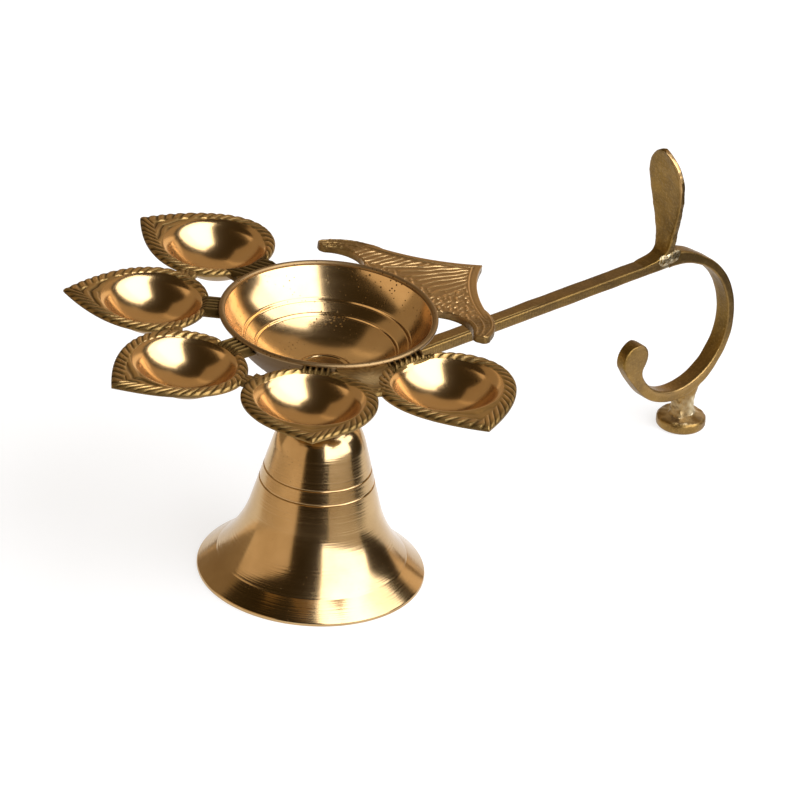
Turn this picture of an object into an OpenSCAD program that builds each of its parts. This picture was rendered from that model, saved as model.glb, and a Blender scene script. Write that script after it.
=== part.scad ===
// Five-cup brass hand lamp on a bell stand, in millimetres.
// X runs along the handle, Z is up, and the origin is the centre of the bell's rim on the table.
// The handle lies in the XZ plane; the five leaf cups are set round the bowl by hand.

/* [Bell stand] */
// Radius of the bell's rim on the table
bell_rim_r = 30; // [28:0.5:33]
// Height of the bell, up to the flat top of its collar
bell_h = 53.2; // [52:0.2:58]
// Wall of the bell, measured level
bell_wall = 2.2; // [1.6:0.1:2.6]
// Height of the upright edge of the rim
bell_edge_h = 0.9; // [0.5:0.1:1.5]
// Height of the sloping band above the rim
bell_band_h = 5.4; // [4.8:0.1:6.4]
// Radius at the top of the sloping band
bell_band_r = 24.8; // [24.2:0.1:26.4]
// Size of the turned step on top of the band
bell_step = 0.6; // [0.3:0.1:1]
// Height where the flare ends and the straight waist begins
bell_waist_z = 13.4; // [12:0.2:16]
// Radius where the flare ends
bell_waist_r = 18.8; // [18:0.1:19.6]
// Height of the shoulder
bell_shoulder_z = 38.2; // [36:0.2:40]
// Radius at the shoulder
bell_shoulder_r = 12.3; // [11.4:0.1:13.2]
// Height of the dome above the shoulder
bell_dome_h = 7; // [6:0.2:8]
// Thickness of metal under the top of the dome
bell_crown_t = 3; // [2.4:0.1:3.6]
// Radius of the neck above the dome
bell_neck_r = 6; // [5.4:0.1:6.8]
// Radius of the collar that carries the handle
bell_collar_r = 7.5; // [7:0.1:8.4]
// Thickness of the collar
bell_collar_t = 2.6; // [2:0.1:3.4]
// Heights of the two turned lines round the waist
bell_line_z = [27.5, 31.2]; // [20:0.1:36]
// Radius of the tool that cut the turned lines
line_tool_r = 0.45; // [0.3:0.05:0.6]

/* [Fixing stud] */
// Radius of the stud
stud_r = 2; // [1.6:0.1:2.4]
// Radius of the stud's flat head under the bowl
stud_head_r = 4; // [3.4:0.1:4.6]
// Thickness of the stud's head
stud_head_t = 1.2; // [0.8:0.1:1.6]
// Length of stud that stands out below the nut
stud_tail = 1.4; // [0.6:0.1:3]
// Radius of the washer inside the bell
washer_r = 4.8; // [4.6:0.1:5.6]
// Thickness of the washer
washer_t = 1; // [0.6:0.1:1.4]
// Width of the nut across its flats
nut_flats = 7; // [6.4:0.1:8]
// Height of the nut
nut_h = 3.2; // [2.4:0.1:4]
// Room between the stud and the holes that it passes through
stud_clear = 0.25; // [0.15:0.05:0.4]

/* [Oil bowl] */
// Outer radius of the bowl's rim
bowl_rim_r = 28; // [27:0.1:29]
// Thickness of the bowl's lip
bowl_lip = 0.8; // [0.6:0.1:1.2]
// Depth of the bowl, rim to flat floor
bowl_depth = 15.9; // [14.5:0.1:17]
// Radius of the bowl's flat floor
bowl_floor_r = 8.8; // [7.6:0.2:10]
// Thickness of the bowl's floor
bowl_floor_t = 1.9; // [1.5:0.1:2.4]
// Radius where the round underside of the bowl meets the level of the floor's lower face
bowl_under_r = 9.5; // [9:0.1:10.4]
// Radius of the turned boss under the bowl
boss_r = 7.7; // [7:0.1:8.4]
// Height of the turned boss under the bowl
boss_h = 2.7; // [1.6:0.1:3.6]
// Radii of the two turned lines inside the bowl
bowl_line_r = [18.2, 21.3]; // [14:0.1:25]
// Radius of the tool that cut the lines in the bowl
bowl_tool_r = 0.3; // [0.2:0.05:0.4]

/* [Leaf cups] */
// Distance from the lamp's axis to the centre of each cup
leaf_reach = 45.3; // [44.8:0.1:47]
// Length of the leaf from the cup's centre to its tip
leaf_tip = 23.2; // [21:0.2:26]
// Length of the leaf from the cup's centre to its round end
leaf_heel = 14.3; // [14:0.1:15]
// Narrowest gap between two leaves, which the lugs bridge
leaf_gap = 0.8; // [0.4:0.1:1.6]
// Thickness of the leaf's plate
leaf_t = 0.9; // [0.8:0.1:1.4]
// How far the leaf's face lies below the bowl's rim
leaf_drop = 1.2; // [0.8:0.1:1.8]
// Radius of the cup at its lip
cup_r = 12.2; // [11.4:0.1:12.4]
// Depth of the cup below its lip
cup_depth = 7; // [6.4:0.1:7.8]
// Wall of the cup
cup_wall = 1; // [0.8:0.1:1.4]
// Drop of the smooth slope from the leaf's face to the cup's lip
slope_h = 0.6; // [0.4:0.1:0.7]
// Width of the smooth slope, up to the top of the rope edge
slope_w = 1.3; // [0.9:0.1:1.5]
// Turn of the two outermost leaves about their own cups, in degrees
outer_turn = 18; // [12:0.5:20]
// Turn of the leaf at the front
front_turn = 8; // [0:0.5:12]
// Width of the rope edge round a leaf
rope_w = 2.2; // [1.8:0.1:2.4]
// Height of the rope edge above the leaf's face
rope_h = 0.5; // [0.4:0.1:0.7]
// Number of twists in the rope edge
rope_twists = 46; // [30:2:52]
// Slant of the cuts between two twists, in degrees
rope_slant = 42; // [30:1:55]
// Width of the cut between two twists
notch_w = 0.7; // [0.5:0.05:0.9]
// Depth of the cut between two twists
notch_depth = 0.3; // [0.15:0.05:0.4]
// Width of the midrib between the cup and the leaf's tip
vein_w = 0.9; // [0.6:0.1:1.2]
// Width of the ribbed neck that joins an inner leaf to the bowl
neck_w = 9.6; // [8:0.2:11]
// Width of the ribbed neck on the two outermost leaves
outer_neck_w = 13; // [11:0.2:14]
// Thickness of the neck
neck_t = 2; // [1.6:0.1:2.4]
// Number of ribs on the neck
neck_ribs = 5; // [3:1:7]
// Depth and width of the cuts between the ribs
rib_cut = 0.6; // [0.3:0.1:0.8]
// How far the lug between two leaves reaches outwards from the plane of their cups
lug_out = 2.1; // [1.2:0.1:2.6]
// How far the lug reaches inwards, towards the bowl
lug_in = 3.3; // [1.2:0.1:5]
// The same between the last two leaves, where a web fills the gap up to the bowl
web_in = 15; // [6:0.5:16]
// How far a lug's faces lie inside those of the leaf's plate
lug_inset = 0.12; // [0.05:0.01:0.2]

/* [Tail plate] */
// Distance from the lamp's axis to the point of the tail plate
tail_tip = 53.8; // [52:0.2:56]
// Thickness of the tail plate
tail_t = 2; // [1.6:0.1:2.6]
// How far the plate's face lies below the bowl's rim
tail_drop = 0.6; // [0.3:0.1:1.2]
// Tilt of the plate, down towards its tip, in degrees
tail_tilt = 4; // [0:0.5:5]
// Place of the corner where the plate runs out into a horn
tail_corner = [36.6, 20]; // [18:0.1:38]
// Depth of the hollow in each side edge
tail_hollow = 1.75; // [1.2:0.05:2.6]
// Centre of the inner curve of a horn
horn_centre = [19.2, 21.4]; // [18:0.1:23]
// Radius of the inner curve
horn_in_r = 8.9; // [8.4:0.1:9.4]
// Centre of the outer curve of a horn
horn_back = [22.2, 18.3]; // [17:0.1:23]
// Radius of the outer curve
horn_out_r = 14.5; // [14:0.1:15]
// Angle where a horn ends
horn_end = 55; // [48:1:60]
// Width of the raised border along the hollow edges
border_w = 2; // [1.4:0.1:2.6]
// Height of the raised border
border_h = 0.6; // [0.3:0.1:0.9]
// Number of feather ribs on each half of the plate
feather_ribs = 6; // [3:1:8]
// Part of the plate's angle that the feather ribs fill
feather_spread = 0.8; // [0.6:0.05:0.9]
// Width of a feather rib
feather_w = 0.8; // [0.5:0.1:1]
// Height of a feather rib
feather_h = 0.4; // [0.2:0.1:0.6]

/* [Handle] */
// Thickness of the bar at the lamp
bar_t = 3.2; // [3:0.1:3.8]
// Thickness of the bar at its far end
bar_end_t = 3.1; // [2.6:0.1:3.2]
// Width of the bar at the lamp
bar_w = 4.8; // [4.5:0.1:5.4]
// Width of the bar at its far end
bar_end_w = 4.5; // [4:0.1:4.8]
// Length of the bar from the lamp's axis
bar_len = 122.8; // [112:0.2:130]
// Radius of the eye on the end of the bar
eye_r = 7.5; // [7:0.1:8.4]
// Room round the stud's head in the eye
head_clear = 0.3; // [0.2:0.1:0.5]

/* [Thumb rest] */
// Height of the thumb rest above the bar
thumb_h = 33; // [29:0.2:36]
// Width at the foot of the thumb rest
thumb_foot_w = 5.4; // [4.6:0.1:6]
// Width at the widest
thumb_w = 12.8; // [11:0.2:14]
// Height of the widest place, as a part of the whole height
thumb_wide_at = 0.72; // [0.66:0.01:0.82]
// Thickness at the foot
thumb_foot_t = 2.7; // [2.2:0.1:3.2]
// Thickness at the tip
thumb_tip_t = 1.7; // [1.3:0.1:2]
// Roundness of the tip, from a pointed 1 to a round 0.5
thumb_round = 0.65; // [0.5:0.05:1]
// How far the tip leans towards the lamp
thumb_lean = 4.2; // [3:0.1:5]
// Radius of the fillet where the thumb rest meets the bar
thumb_fillet = 3; // [2:0.1:4]

/* [Finger curl] */
// Width of the curl
curl_w = 5; // [4.4:0.1:5.6]
// Width of the curl at the bulb
bulb_w = 4.3; // [3.4:0.1:4.8]
// Inner radius of the upper turn
curl_r1 = 22.9; // [22:0.1:24]
// Inner radius of the lower turn
curl_r2 = 16.9; // [16.2:0.1:17.6]
// Inner radius of the last turn
curl_r3 = 14.4; // [13.8:0.1:15]
// How far the bar's lower face stands above the top of the curl's inner edge
curl_drop = 0.1; // [0:0.1:0.6]
// Thickness where the curl leaves the bar and the thumb rest
curl_start_t = 4.6; // [4:0.1:5]
// Thickness of the upper turn
curl_top_t = 2.6; // [2.2:0.1:3]
// Thickness under the loop, above the post
curl_under_t = 3.3; // [2.8:0.1:3.8]
// Thickness beside the bulb
curl_end_t = 4.0; // [3.6:0.1:4.6]
// Radius of the bulb on the end
bulb_r = 4.2; // [3.9:0.1:4.6]
// Distance from the end of the bar to the middle of the foot
foot_reach = 11; // [10:0.1:12.5]
// Length of the post under the curl
post_l = 6.6; // [5.8:0.1:7.4]
// Radius of the foot
foot_r = 6.8; // [6:0.1:7.6]
// Height of the foot
foot_h = 3.6; // [3:0.1:4.4]
// Rounding of the foot's edges
foot_round = 1.2; // [0.8:0.1:1.4]

/* [Seats] */
// Film of brazing metal between curved faces that are joined
braze_gap = 0.15; // [0.1:0.05:0.3]

/* [Hidden] */
$fn = 64;

turned_brass = [0.80, 0.60, 0.30];
cast_brass = [0.60, 0.45, 0.22];
braze_brass = [0.72, 0.58, 0.36];

// Spare length given to a cutting shape so that it leaves cleanly
over = 1;
// Steps in a drawn arc
arc_steps = 12;
// Bearings of the five leaves round the lamp's axis, as they were set by hand
leaf_bearing = [88.7, 133.5, 177, 222.8, 272.2];
leaf_turn = [outer_turn, 0, 0, front_turn, -outer_turn];
leaf_neck_w = [outer_neck_w, neck_w, neck_w, neck_w, outer_neck_w];
// How far each leaf stands out beyond the mean reach
leaf_out = [0.8, 0.2, 0.5, -1.5, -1.5];
// How large each leaf is with its cup, as the castings are not all the same
leaf_size = [1.03, 1.01, 1.03, 1.05, 1.08];
last_leaf = len(leaf_bearing) - 1;

// Half the width of a leaf: the widest that leaves the gap between the two leaves that stand closest
half_step = min([for (i = [1:last_leaf]) (leaf_bearing[i] - leaf_bearing[i - 1]) / 2]);
leaf_room = leaf_reach * sin(half_step) - leaf_gap / 2;
leaf_half_w = sqrt(leaf_room^2 - (leaf_heel * sin(half_step))^2) / cos(half_step);

// Levels of the stack, from the bell's collar up to the bowl's rim
bar_top_z = bell_h + bar_t;
bowl_under_z = bar_top_z + boss_h;
bowl_floor_z = bowl_under_z + bowl_floor_t;
bowl_rim_z = bowl_floor_z + bowl_depth;
leaf_z = bowl_rim_z - leaf_drop;
tail_z = bowl_rim_z - tail_drop;

// Levels of the fixing inside the bell
crown_z = bell_shoulder_z + bell_dome_h - bell_crown_t;
washer_z = crown_z - washer_t;
nut_z = washer_z - nut_h;
stud_low_z = nut_z - stud_tail;
head_low_z = bar_top_z - stud_head_t;

// Centre and radius of a sphere on the axis through two circles, each given as [radius, height]
function sphere_z(p, q) = (q[0]^2 - p[0]^2 + q[1]^2 - p[1]^2) / (2 * (q[1] - p[1]));
function sphere_r(p, z) = norm([p[0], z - p[1]]);

bowl_in_rim = [bowl_rim_r - bowl_lip, bowl_rim_z];
bowl_in_z = sphere_z([bowl_floor_r, bowl_floor_z], bowl_in_rim);
bowl_in_r = sphere_r(bowl_in_rim, bowl_in_z);
bowl_out_z = sphere_z([bowl_under_r, bowl_under_z], [bowl_rim_r, bowl_rim_z]);
bowl_out_r = sphere_r([bowl_rim_r, bowl_rim_z], bowl_out_z);

// The cup is part of a sphere through its lip and its lowest point
cup_lip_z = leaf_z - slope_h;
cup_ball_r = (cup_r^2 + cup_depth^2) / (2 * cup_depth);
cup_ball_z = cup_lip_z - cup_depth + cup_ball_r;

// Points along an arc from angle a0 to angle a1
function arc(c, r, a0, a1, n = arc_steps) =
    [for (i = [0:n]) let (a = a0 + (a1 - a0) * i / n) c + r * [cos(a), sin(a)]];
function bearing(p) = atan2(p[1], p[0]);

// Bell: the flare is an arc that runs smoothly into the straight waist
waist = [bell_waist_r, bell_waist_z];
waist_run = [bell_shoulder_r, bell_shoulder_z] - waist;
waist_normal = [waist_run[1], -waist_run[0]] / norm(waist_run);
flare_run = [bell_band_r, bell_band_h] - waist;
flare_r = (flare_run * flare_run) / (2 * (flare_run * waist_normal));
flare_c = waist + flare_r * waist_normal;
flare_low = bearing(flare_run + waist - flare_c);
flare_high = bearing(waist - flare_c);

// Side of the bell from the table to the shoulder
bell_side = concat(
    [[bell_rim_r, 0], [bell_rim_r, bell_edge_h]],
    [[bell_band_r + bell_step, bell_band_h - bell_step], [bell_band_r, bell_band_h - bell_step]],
    arc(flare_c, flare_r, flare_low, flare_high),
    [[bell_shoulder_r, bell_shoulder_z]]
);

// Dome between the shoulder and the neck, a quarter of an ellipse
bell_dome = [for (i = [1:arc_steps]) let (a = 90 * i / arc_steps)
    [bell_neck_r + (bell_shoulder_r - bell_neck_r) * cos(a), bell_shoulder_z + bell_dome_h * sin(a)]];

// Radius of the straight waist at height z
function waist_at(z) = bell_waist_r + (z - bell_waist_z) * waist_run[0] / waist_run[1];

// Radius of the washer's seat under the crown
crown_seat_r = washer_r + bell_wall;

module bell_stand() {
    collar_z = bell_h - bell_collar_t;
    color(turned_brass)
    difference() {
        rotate_extrude()
            polygon(concat(
                [[0, 0]],
                bell_side,
                bell_dome,
                [[bell_neck_r, collar_z], [bell_collar_r, collar_z], [bell_collar_r, bell_h], [0, bell_h]]
            ));
        rotate_extrude()
            polygon(concat(
                [[0, -over], [bell_rim_r - bell_wall, -over]],
                [for (p = bell_side) p - [bell_wall, 0]],
                [[crown_seat_r, crown_z], [0, crown_z]]
            ));
        cylinder(r = stud_r + stud_clear, h = bell_h + over);
        for (z = bell_line_z)
            rotate_extrude()
                translate([waist_at(z), z]) circle(r = line_tool_r, $fn = 24);
    }
}

module stand_washer() {
    color(turned_brass)
    translate([0, 0, washer_z])
        difference() {
            cylinder(r = washer_r, h = washer_t);
            translate([0, 0, -over]) cylinder(r = stud_r + stud_clear, h = washer_t + 2 * over);
        }
}

module stand_nut() {
    color(turned_brass)
    translate([0, 0, nut_z])
        difference() {
            cylinder(r = nut_flats / sqrt(3), h = nut_h, $fn = 6);
            translate([0, 0, -over]) cylinder(r = stud_r + stud_clear, h = nut_h + 2 * over);
        }
}

module center_stud() {
    color(turned_brass) {
        translate([0, 0, stud_low_z]) cylinder(r = stud_r, h = bar_top_z - stud_low_z);
        translate([0, 0, head_low_z]) cylinder(r = stud_head_r, h = stud_head_t);
    }
}

// The bowl's outside as one ball, grown by a gap where other pieces fit against it
module bowl_ball(gap = 0) {
    translate([0, 0, bowl_out_z]) sphere(r = bowl_out_r + gap, $fn = 96);
}

module oil_bowl() {
    color(turned_brass)
    difference() {
        union() {
            intersection() {
                bowl_ball();
                translate([0, 0, bowl_under_z])
                    cylinder(r = bowl_rim_r + over, h = bowl_rim_z - bowl_under_z);
            }
            translate([0, 0, bar_top_z]) cylinder(r = boss_r, h = boss_h + bowl_floor_t / 2);
        }
        intersection() {
            translate([0, 0, bowl_in_z]) sphere(r = bowl_in_r, $fn = 96);
            translate([0, 0, bowl_floor_z]) cylinder(r = bowl_rim_r, h = bowl_depth + over);
        }
        for (r = bowl_line_r)
            rotate_extrude()
                translate([r, bowl_in_z - sqrt(bowl_in_r^2 - r^2)]) circle(r = bowl_tool_r, $fn = 24);
    }
}

// Outline of a leaf about its cup's centre, drawn in by a margin, from the tip round the heel and back:
// curved sides, and half an ellipse at the heel
function leaf_points(margin) =
    let (
        half_w = leaf_half_w - margin,
        tip = leaf_tip - margin * leaf_tip / leaf_half_w,
        heel = leaf_heel - margin
    )
    concat(
        [for (i = [arc_steps:-1:0]) let (t = i / arc_steps) [tip * t, half_w * (1 - t^2)]],
        [for (i = [1:2 * arc_steps - 1]) let (a = 90 + 90 * i / arc_steps) [heel * cos(a), half_w * sin(a)]],
        [for (i = [0:arc_steps]) let (t = i / arc_steps) [tip * t, -half_w * (1 - t^2)]]
    );

module leaf_outline(margin = 0) {
    points = leaf_points(margin);
    polygon([for (i = [0:len(points) - 2]) points[i]]);
}

// Length of a line of points up to each of them
function run_to(points, i) = i == 0 ? 0 : run_to(points, i - 1) + norm(points[i] - points[i - 1]);

// Slanting cuts in even steps round the rope edge, which leave its twists standing
module rope_cuts() {
    middle = leaf_points(rope_w / 2);
    last = len(middle) - 1;
    place = [for (i = [0:last]) [run_to(middle, i), i]];
    step = run_to(middle, last) / rope_twists;
    for (k = [0:rope_twists - 1]) {
        u = lookup((k + 0.5) * step, place);
        i = min(floor(u), last - 1);
        run = middle[i + 1] - middle[i];
        at = middle[i] + (u - i) * run;
        translate([at[0], at[1], leaf_z + rope_h - notch_depth])
            rotate(bearing(run) + 90 - rope_slant)
                translate([-rope_w, -notch_w / 2, 0]) cube([2 * rope_w, notch_w, notch_depth + over]);
    }
}

// Ribbed strip from the cup towards the lamp's axis
module leaf_neck(width) {
    length = leaf_reach - cup_r - slope_w;
    pitch = width / neck_ribs;
    difference() {
        translate([-leaf_reach, -width / 2, leaf_z - neck_t]) cube([length, width, neck_t]);
        for (i = [1:neck_ribs - 1])
            translate([-leaf_reach - over, i * pitch - width / 2 - rib_cut / 2, leaf_z - rib_cut])
                cube([leaf_reach - leaf_heel + over, rib_cut, rib_cut + over]);
    }
}

// Lug that reaches from a cup to the plane half way to the next leaf
module leaf_lug(i, next) {
    half_gap = (leaf_bearing[next] - leaf_bearing[i]) / 2;
    side = half_gap > 0 ? 90 : -90;
    inwards = max(i, next) == last_leaf ? web_in : lug_in;
    start = cup_r + (inwards > lug_in ? -over : slope_w);
    reach = (leaf_reach + leaf_out[i]) * abs(sin(half_gap)) - braze_gap / 2;
    rotate(half_gap + side)
        translate([start, half_gap > 0 ? -lug_out : -inwards, leaf_z - leaf_t + lug_inset])
            cube([reach - start, lug_out + inwards, leaf_t - 2 * lug_inset]);
}

module leaf_body() {
    translate([0, 0, leaf_z - leaf_t]) linear_extrude(leaf_t) leaf_outline();
    difference() {
        translate([0, 0, leaf_z - leaf_t / 2])
            linear_extrude(leaf_t / 2 + rope_h)
                difference() {
                    leaf_outline();
                    leaf_outline(rope_w);
                }
        rope_cuts();
    }
    translate([cup_r, -vein_w / 2, leaf_z - leaf_t / 2])
        cube([leaf_tip - cup_r - rope_w, vein_w, leaf_t / 2 + rope_h / 2]);
    intersection() {
        translate([0, 0, cup_ball_z]) sphere(r = cup_ball_r + cup_wall);
        translate([0, 0, cup_lip_z - cup_depth - cup_wall - over])
            cylinder(r = cup_ball_r + cup_wall + over, h = cup_depth + cup_wall + over + slope_h / 2);
    }
}

// A leaf or the hollow of its cup at its own size, measured from the leaf's face
module sized(i) {
    translate([0, 0, leaf_z]) scale(leaf_size[i]) translate([0, 0, -leaf_z]) children();
}

module leaf_cup(i) {
    color(cast_brass)
    difference() {
        rotate(leaf_bearing[i])
            translate([leaf_reach + leaf_out[i], 0, 0])
                difference() {
                    union() {
                        rotate(leaf_turn[i]) sized(i) leaf_body();
                        leaf_neck(leaf_neck_w[i]);
                        if (i < last_leaf) leaf_lug(i, i + 1);
                        if (i > 0) leaf_lug(i, i - 1);
                    }
                    sized(i) translate([0, 0, cup_ball_z]) sphere(r = cup_ball_r);
                    sized(i) translate([0, 0, cup_lip_z])
                        cylinder(r1 = cup_r, r2 = cup_r + slope_w, h = slope_h + rope_h);
                }
        bowl_ball(braze_gap);
    }
}

// Hollow side edge of the tail plate: a circle that bites in between the tip and the corner
edge_run = tail_corner - [tail_tip, 0];
edge_len = norm(edge_run);
edge_normal = [edge_run[1], -edge_run[0]] / edge_len;
edge_r = edge_len^2 / (8 * tail_hollow) + tail_hollow / 2;
edge_c = [tail_tip, 0] + edge_run / 2 + (edge_r - tail_hollow) * edge_normal;
// Width of a horn at its end, along the ray from its inner curve to its outer one
horn_shift = horn_centre - horn_back;
horn_ray = [cos(horn_end), sin(horn_end)];
horn_far = -horn_shift * horn_ray + sqrt((horn_shift * horn_ray)^2 - horn_shift * horn_shift + horn_out_r^2);
horn_end_w = horn_far - horn_in_r;

// Crescent that narrows from the plate's corner to a round end
module tail_horn() {
    start = bearing(tail_corner - horn_centre);
    middle = (start + horn_end) / 2;
    intersection() {
        difference() {
            translate(horn_back) circle(r = horn_out_r);
            translate(horn_centre) circle(r = horn_in_r);
        }
        polygon([horn_centre, horn_centre + 2 * horn_out_r * [cos(start - over), sin(start - over)],
            horn_centre + 2 * horn_out_r * [cos(middle), sin(middle)],
            horn_centre + 2 * horn_out_r * horn_ray]);
    }
    translate(horn_centre + (horn_in_r + horn_end_w / 2) * horn_ray) circle(r = horn_end_w / 2);
}

module tail_outline() {
    mirror_y = [tail_corner[0], -tail_corner[1]];
    difference() {
        polygon([[tail_tip, 0], tail_corner, horn_centre, [0, 0],
            [horn_centre[0], -horn_centre[1]], mirror_y]);
        for (side = [-1, 1]) {
            translate([edge_c[0], side * edge_c[1]]) circle(r = edge_r, $fn = 96);
            translate([horn_centre[0], side * horn_centre[1]]) circle(r = horn_in_r);
        }
    }
    tail_horn();
    mirror([0, 1]) tail_horn();
}

// Ribs of the tail feathers, which fan out from the plate's tip
module feather_fan() {
    fan = bearing([tail_tip - tail_corner[0], tail_corner[1]]);
    for (i = [0:2 * feather_ribs])
        translate([tail_tip, 0])
            rotate(180 + fan * feather_spread * (i / feather_ribs - 1))
                translate([0, -feather_w / 2]) square([tail_tip, feather_w]);
}

module tail_plate() {
    color(cast_brass)
    difference() {
        translate([horn_centre[0], 0, tail_z])
            rotate([0, tail_tilt, 0])
                translate([-horn_centre[0], 0, -tail_t]) {
                    linear_extrude(tail_t) tail_outline();
                    linear_extrude(tail_t + border_h)
                        intersection() {
                            tail_outline();
                            for (side = [-1, 1])
                                translate([edge_c[0], side * edge_c[1]])
                                    circle(r = edge_r + border_w, $fn = 96);
                        }
                    linear_extrude(tail_t + feather_h)
                        intersection() {
                            tail_outline();
                            feather_fan();
                        }
                }
        bowl_ball(braze_gap);
        translate([0, 0, tail_z - bowl_depth]) cylinder(r = bowl_rim_r - over, h = 2 * bowl_depth);
    }
}

// Bar seen from above, with the eye round the stud
module bar_plan() {
    circle(r = eye_r);
    polygon([[0, -bar_w / 2], [bar_len, -bar_end_w / 2], [bar_len, bar_end_w / 2], [0, bar_w / 2]]);
}

module handle_bar() {
    color(cast_brass)
    difference() {
        intersection() {
            translate([0, 0, bell_h]) linear_extrude(bar_t) bar_plan();
            rotate([90, 0, 0])
                translate([0, 0, -eye_r - over])
                    linear_extrude(2 * (eye_r + over))
                        polygon([[-eye_r - over, bell_h], [eye_r, bell_h], [bar_len, bar_top_z - bar_end_t],
                            [bar_len, bar_top_z], [-eye_r - over, bar_top_z]]);
        }
        translate([0, 0, bell_h - over]) cylinder(r = stud_r + stud_clear, h = bar_t + 2 * over);
        translate([0, 0, head_low_z - head_clear])
            cylinder(r = stud_head_r + head_clear, h = stud_head_t + head_clear + over);
    }
}

// Height along the thumb rest as a part of its whole height gives half its width
function ease(t) = t^2 * (3 - 2 * t);
function thumb_half(t) = t < thumb_wide_at
    ? thumb_foot_w / 2 + (thumb_w - thumb_foot_w) / 2 * ease(t / thumb_wide_at)
    : thumb_w / 2 * (1 - ((t - thumb_wide_at) / (1 - thumb_wide_at))^2)^thumb_round;
// Place of the thumb rest's back face, which leans more and more towards the tip
function thumb_back(t) = bar_len - thumb_lean * t^2;
function thumb_thick(t) = thumb_foot_t + (thumb_tip_t - thumb_foot_t) * t;

module thumb_rest() {
    steps = 2 * arc_steps;
    back = [for (i = [0:steps]) let (t = i / steps) [thumb_back(t), thumb_h * t]];
    front = [for (i = [steps:-1:0]) let (t = i / steps) [thumb_back(t) - thumb_thick(t), thumb_h * t]];
    right = [for (i = [0:steps]) let (t = i / steps) [thumb_half(t), thumb_h * t]];
    left = [for (i = [steps - 1:-1:0]) let (t = i / steps) [-thumb_half(t), thumb_h * t]];
    foot_x = bar_len - thumb_foot_t;
    color(cast_brass)
    translate([0, 0, bar_top_z]) {
        intersection() {
            rotate([90, 0, 0])
                translate([0, 0, -thumb_w]) linear_extrude(2 * thumb_w) polygon(concat(back, front));
            rotate([90, 0, 90]) linear_extrude(bar_len + over) polygon(concat(right, left));
        }
        rotate([90, 0, 0])
            translate([0, 0, -thumb_foot_w / 2])
                linear_extrude(thumb_foot_w)
                    difference() {
                        translate([foot_x - thumb_fillet, 0]) square([thumb_fillet + over, thumb_fillet]);
                        translate([foot_x - thumb_fillet, thumb_fillet]) circle(r = thumb_fillet);
                    }
    }
}

// The curl's inner edge is three arcs that tighten: over the top, under the loop and up to the bulb
curl_c1 = [bar_len, bar_top_z - bar_end_t - curl_drop - curl_r1];
curl_c2 = curl_c1 + [curl_r1 - curl_r2, 0];
curl_c3 = curl_c2 - [0, curl_r2 - curl_r3];
curl_start_a = 90;
curl_end_a = -168;
// Angles round the curl where its thickness changes:
// past the start, at the back, at the post and before the bulb
curl_neck_a = 62;
curl_back_a = -40;
curl_post_a = -60;
curl_low_a = -138;
// Place of the bulb's centre from the end of the inner edge, as parts of its radius
bulb_set = [-0.4, 0.7];

function curl_centre(a) = a > 0 ? curl_c1 : a > -90 ? curl_c2 : curl_c3;
function curl_radius(a) = a > 0 ? curl_r1 : a > -90 ? curl_r2 : curl_r3;
function curl_thick(a) = lookup(a, [
    [curl_end_a, curl_end_t], [curl_low_a, curl_under_t], [curl_post_a, curl_under_t],
    [curl_back_a, curl_top_t], [curl_neck_a, curl_top_t], [curl_start_a, curl_start_t]
]);
function curl_edge(a, out) = curl_centre(a) + (curl_radius(a) + out * curl_thick(a)) * [cos(a), sin(a)];
bulb_c = curl_edge(curl_end_a, 0) + bulb_r * bulb_set;

module curl_strip() {
    steps = 4 * arc_steps;
    turn = [for (i = [0:steps]) curl_start_a + (curl_end_a - curl_start_a) * i / steps];
    polygon(concat(
        [for (a = turn) curl_edge(a, 1)],
        [for (i = [steps:-1:0]) curl_edge(turn[i], 0)]
    ));
}

// Wedge that thins one side of the lower turn towards the bulb
module curl_taper() {
    near_x = bar_len + foot_reach - post_l / 2;
    far_x = bulb_c[0] - bulb_r - over;
    translate([0, 0, foot_h])
        linear_extrude(curl_c1[1] - foot_h)
            polygon([[near_x, curl_w / 2], [far_x, bulb_w / 2], [far_x, curl_w], [near_x, curl_w]]);
}

module finger_curl() {
    foot_x = bar_len + foot_reach;
    color(cast_brass)
    difference() {
        rotate([90, 0, 0])
            translate([0, 0, -curl_w / 2])
                union() {
                    linear_extrude(curl_w) curl_strip();
                    translate([bulb_c[0], bulb_c[1], 0]) cylinder(r = bulb_r, h = curl_w);
                    translate([foot_x - post_l / 2, foot_h, 0])
                        cube([post_l, curl_c2[1] - curl_r2 - foot_h - curl_under_t / 4, curl_w]);
                }
        curl_taper();
        mirror([0, 1, 0]) curl_taper();
    }
}

module handle_foot() {
    color(braze_brass)
    translate([bar_len + foot_reach, 0, 0])
        rotate_extrude()
            polygon(concat(
                [[0, 0]],
                arc([foot_r - foot_round, foot_round], foot_round, -90, 0),
                arc([foot_r - foot_round, foot_h - foot_round], foot_round, 0, 90),
                [[0, foot_h]]
            ));
}

bell_stand();
stand_washer();
stand_nut();
center_stud();
oil_bowl();
for (i = [0:last_leaf])
    leaf_cup(i);
tail_plate();
handle_bar();
thumb_rest();
finger_curl();
handle_foot();
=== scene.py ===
"""Looks of a five-cup brass hand lamp on a bell stand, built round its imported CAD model.

Shapes are worked out in millimetres in the CAD frame: X runs along the handle, Z is up, and the origin is
the centre of the bell's rim on the table. Meshes are written in metres. A point of a turned profile is
(radius, height).
"""

import bpy
import numpy as np
from mathutils import Matrix


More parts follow.
